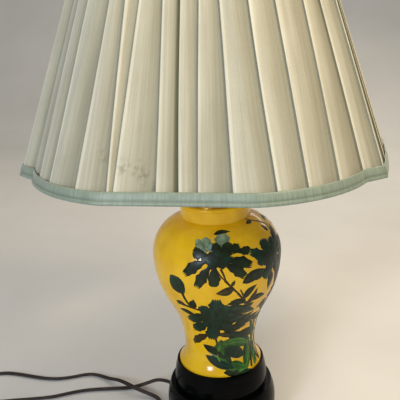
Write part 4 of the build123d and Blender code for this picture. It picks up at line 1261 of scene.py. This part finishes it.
@dataclass
class Flex:
    """The twin flex, its tie and its plug.

    Attributes:
        exit_turn: Angle of the way out of the base, from +X in degrees.
        exit_reach: Distance of the bushing's tip from the axis in mm.
        exit_height: Its height in mm.
        lead: How far the flex goes straight on from the tip, in mm.
        inner_reaches: Distances from the axis of its bends inside the base, in mm.
        lobe: Radius of each of the flex's two cores in mm.
        apart: Half the distance between the cores in mm.
        lie: Height of the flex's middle where it lies flat, in mm.
        coil_middle: Middle of the put-away coil in mm.
        coil_radius: Radius of its outer turns in mm.
        coil_pitch: Distance between turns in mm.
        coil_turns: Turns in each of its two layers.
        coil_low: Height of the lower layer in mm.
        coil_start: Where along the flex it turns on edge for the coil, and in what length, in metres.
        coil_end: How far from its end it turns flat again, and in what length, in metres.
        lazy: How far the flex twists where it lies loose, in radians.
        length: The flex's length in metres.
        tie_middle: Middle of the tie's loop in y and z, in mm.
        tie_half: Half the loop's span and rise in mm.
        tie_thick: Thickness of the tie in mm.
        tie_width: Its width in mm.
        plug_start: Where the flex enters the plug, in mm.
        plug_way: The way the plug points.
    """

    exit_turn: float = 155.0
    exit_reach: float = 78.0
    exit_height: float = 12.0
    lead: float = 18.0
    inner_reaches: Pair = (44.0, 14.0)
    lobe: float = 1.45
    apart: float = 1.35
    lie: float = 1.7
    coil_middle: Pair = (-112.0, -72.0)
    coil_radius: float = 40.0
    coil_pitch: float = 6.2
    coil_turns: int = 3
    coil_low: float = 3.8
    coil_start: Pair = (0.60, 0.05)
    coil_end: Pair = (0.055, 0.045)
    lazy: float = 0.16
    length: float = 1.88
    tie_middle: Pair = (-102.7, 7.05)
    tie_half: Pair = (12.5, 6.15)
    tie_thick: float = 0.8
    tie_width: float = 4.0
    plug_start: Triple = (-57.0, -121.0, 8.8)
    plug_way: Triple = (0.6097, -0.7926, 0.0)

    # From the bushing to the coil, in mm; a place without a height lies flat
    route: ClassVar[tuple[tuple[float, ...], ...]] = (
        (-105, 38.5, 5.0), (-121, 32.5), (-138, 28), (-158, 25), (-180, 20.5), (-200, 12), (-222, -0.5),
        (-246, -7), (-271, -13), (-291, -19), (-309, -21), (-328.5, -14), (-340.5, 2.5), (-340.5, 23.5),
        (-328.5, 40), (-309, 48), (-288, 46.5), (-262, 42), (-236, 39.5), (-213, 46), (-193, 57),
        (-177, 56), (-160, 47.5, 2.7), (-144, 40, 6.4), (-130, 31, 7.9), (-117, 23, 7.4),
        (-101, 18.5, 4.4), (-83, 13), (-75, -6, 2.0), (-73, -27, 2.8), (-72, -46, 3.8),
        (-72, -66.4, 3.8),
    )
    # From the coil to the plug, in mm
    tail: ClassVar[tuple[Triple, ...]] = ((-72, -84, 10.0), (-71, -95, 10.0), (-67, -108, 8.8))
    # Up through the lamp from the base's middle, in mm
    rise: ClassVar[tuple[Triple, ...]] = ((-2, 1, 14), (0, 0, 26), (0, 0, 60), (0, 0, 190), (0, 0, 320))
    # Along the plug's body from its nose: distance, width and height in mm, and how square it is
    plug_rings: ClassVar[tuple[tuple[float, float, float, float], ...]] = (
        (13.6, 15.0, 12.6, 2.6), (14.2, 21.0, 15.6, 4.0), (15.4, 24.0, 17.0, 5.0), (18.0, 24.8, 17.3, 5.5),
        (22.0, 23.2, 17.0, 5.5), (28.0, 22.6, 16.8, 5.5), (33.0, 24.0, 17.2, 6.0), (36.0, 24.9, 17.4, 6.5),
        (39.4, 24.9, 17.4, 6.5), (39.9, 24.4, 16.9, 6.0), (40.0, 23.0, 15.6, 6.0), (40.0, 8.0, 5.0, 6.0),
    )

    def outward(self, reach: float) -> Vector:
        """A point on the flex's way out of the base, at a distance in mm from the axis."""
        turn = math.radians(self.exit_turn)
        return Vector((math.cos(turn), math.sin(turn), 0)) * reach + Vector((0, 0, self.exit_height))

    def coil(self) -> list[Triple]:
        """Lists control points of the coil: in on its lower layer, up at the middle, out on the upper.

        Returns:
            The points in mm.
        """
        x, y = self.coil_middle
        per_turn = 16
        grow = 1 / math.cos(math.pi / per_turn)
        points = []
        for k in range(2 * self.coil_turns * per_turn + 1):
            turns = k / per_turn
            inward = min(turns, 2 * self.coil_turns - turns)
            level = smooth_step((turns - self.coil_turns + 0.25) / 0.5)
            radius = (self.coil_radius - self.coil_pitch * inward) * grow
            angle = -2 * math.pi * turns
            height = self.coil_low + self.coil_pitch * level
            points.append((x + radius * math.cos(angle), y + radius * math.sin(angle), height))
        return points

    def spline(self, name: str, controls: Sequence[Sequence[float]]) -> list[Vector]:
        """Reads points off a smooth curve through a route.

        Args:
            name: The curve's name.
            controls: The route's control points in mm.

        Returns:
            Points along the curve in metres.
        """
        data = bpy.data.curves.new(name, "CURVE")
        data.dimensions = "3D"
        data.resolution_u = 5
        line = data.splines.new("NURBS")
        line.points.add(len(controls) - 1)
        for point, place in zip(line.points, controls):
            point.co = (place[0] * MM, place[1] * MM, place[2] * MM, 1.0)
        line.order_u = 3
        line.use_endpoint_u = True
        guide = bpy.data.objects.new(name, data)
        bpy.context.scene.collection.objects.link(guide)
        graph = bpy.context.evaluated_depsgraph_get()
        mesh = bpy.data.meshes.new_from_object(guide.evaluated_get(graph))
        points = [v.co.copy() for v in mesh.vertices]
        bpy.data.objects.remove(guide)
        bpy.data.meshes.remove(mesh)
        return points

    def outline(self) -> list[Pair]:
        """Draws the twin flex's section: two round cores with a groove between them.

        Returns:
            The section's points in mm.
        """
        meet = math.acos(-self.apart / self.lobe)
        side = [meet * (k / 4 - 1) for k in range(9)]
        right = [(self.apart + self.lobe * math.cos(a), self.lobe * math.sin(a)) for a in side]
        return right + [(-u, -v) for u, v in right]

    def tube(self, name: str, path: Sequence[Vector], roll: Callable[[float], float]) -> bpy.types.Object:
        """Sweeps the twin section along a path.

        Args:
            name: The piece's name.
            path: Points in metres.
            roll: Turn of the section in radians, by the share of the path.

        Returns:
            The piece.
        """
        section = self.outline()
        points = []
        for k, place in enumerate(path):
            way = (path[min(k + 1, len(path) - 1)] - path[max(k - 1, 0)]).normalized()
            side = way.cross(Vector((0, 0, 1)))
            side = side.normalized() if side.length > 0.05 else Vector((0, 1, 0))
            above = side.cross(way)
            turn = roll(k / (len(path) - 1))
            wide = side * math.cos(turn) + above * math.sin(turn)
            thin = above * math.cos(turn) - side * math.sin(turn)
            points += [place + (wide * u + thin * v) * MM for u, v in section]
        faces = grid_faces(len(path), len(section), capped=True)
        return build_piece(name, points, faces, "lamp", VINYL_FLEX)

    def plug(self) -> bpy.types.Object:
        """Moulds the plug: ribbed nose, gripped body and flat face.

        Returns:
            The plug.
        """
        start, way = Vector(self.plug_start), Vector(self.plug_way).normalized()
        wide, above = Vector((-way.y, way.x, 0)), Vector((0, 0, 1))
        rings = [(-0.2, 5.8, 3.4, 2.0), (0.0, 8.4, 7.0, 2.2)]
        for rib in range(4):
            width = 8.8 + 0.9 * rib
            for along, grow in ((0.6, 0.0), (2.0, 0.2), (2.3, -1.0), (3.2, -0.9)):
                rings.append((along + 3 * rib, width + grow, width + grow - 1, 2.2))
        rings += self.plug_rings
        count = 40
        points = []
        for along, width, height, power in rings:
            for turn in circle(count):
                u, v = squarish(turn, power)
                place = start + way * along + wide * (u * width / 2) + above * (v * height / 2)
                points.append(place * MM)
        faces = grid_faces(len(rings), count, capped=True)
        plug = build_piece("moulded_plug", points, faces, "lamp", BLACK_PLASTIC)
        plug.data.set_sharp_from_angle(angle=math.radians(50))
        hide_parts("plug_body")
        return plug

    def tie(self) -> bpy.types.Object:
        """Straps the coil at its front.

        Returns:
            The tie.
        """
        (y, z), (half_span, half_rise) = self.tie_middle, self.tie_half
        count, power = 48, 6.25
        points = []
        for grow, side in ((0, -1), (self.tie_thick, -1), (self.tie_thick, 1), (0, 1)):
            x = self.coil_middle[0] + side * self.tie_width / 2
            for turn in circle(count):
                u, v = squarish(turn, power)
                points.append(Vector((x, y + u * (half_span + grow), z + v * (half_rise + grow))) * MM)
        faces = grid_faces(4, count, looped=True)
        tie = build_piece("coil_tie", points, faces, "lamp", BLACK_PLASTIC)
        tie.data.set_sharp_from_angle(angle=math.radians(40))
        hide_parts("cord_tie")
        return tie

    def build(self) -> None:
        """Lays the flex from the base to its plug, and the length inside the lamp."""
        controls = [self.outward(reach) for reach in (self.exit_reach, self.exit_reach + self.lead)]
        controls += [(*place, self.lie)[:3] for place in self.route]
        path = self.spline("flex_route", [*controls, *self.coil(), *self.tail, self.plug_start])
        lengths = [0.0]
        for near, far in zip(path, path[1:]):
            lengths.append(lengths[-1] + (far - near).length)
        total = lengths[-1]
        log.info("flex length %.3f m", total)

        def roll(share: float) -> float:
            """Turns the flex flat on the table and on edge in the coil.

            Args:
                share: Share of the path's points.

            Returns:
                The turn in radians.
            """
            along = lengths[round(share * (len(path) - 1))]
            (start, rise), (end, fall) = self.coil_start, self.coil_end
            flat_again = smooth_step((along - (total - end)) / fall)
            on_edge = smooth_step((along - start) / rise) * (1 - flat_again)
            return math.pi / 2 * on_edge + self.lazy * math.sin(along * 31) * (1 - on_edge)

        flex = self.tube("twin_flex", path, roll)
        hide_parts("lamp_cord", "cord_coil", "cord_tail")
        PLUG_BRASS.dress("plug_blades")
        plug, tie = self.plug(), self.tie()
        inside = [self.outward(reach) for reach in (self.exit_reach, *self.inner_reaches)]
        inside += self.rise
        hidden = self.tube("inner_flex", self.spline("inner_route", inside), lambda share: 0.0)
        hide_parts("inner_cord")


def main() -> None:
    """Builds the stage and each part of the lamp in order."""
    logging.basicConfig(level=logging.INFO, format="%(name)s %(message)s")
    Studio().build()
    Flex().build()
    Base().build()
    Vase().build()
    Fittings().build()
    Shade(ShadePlan()).build()


if __name__ == "__main__":
    main()
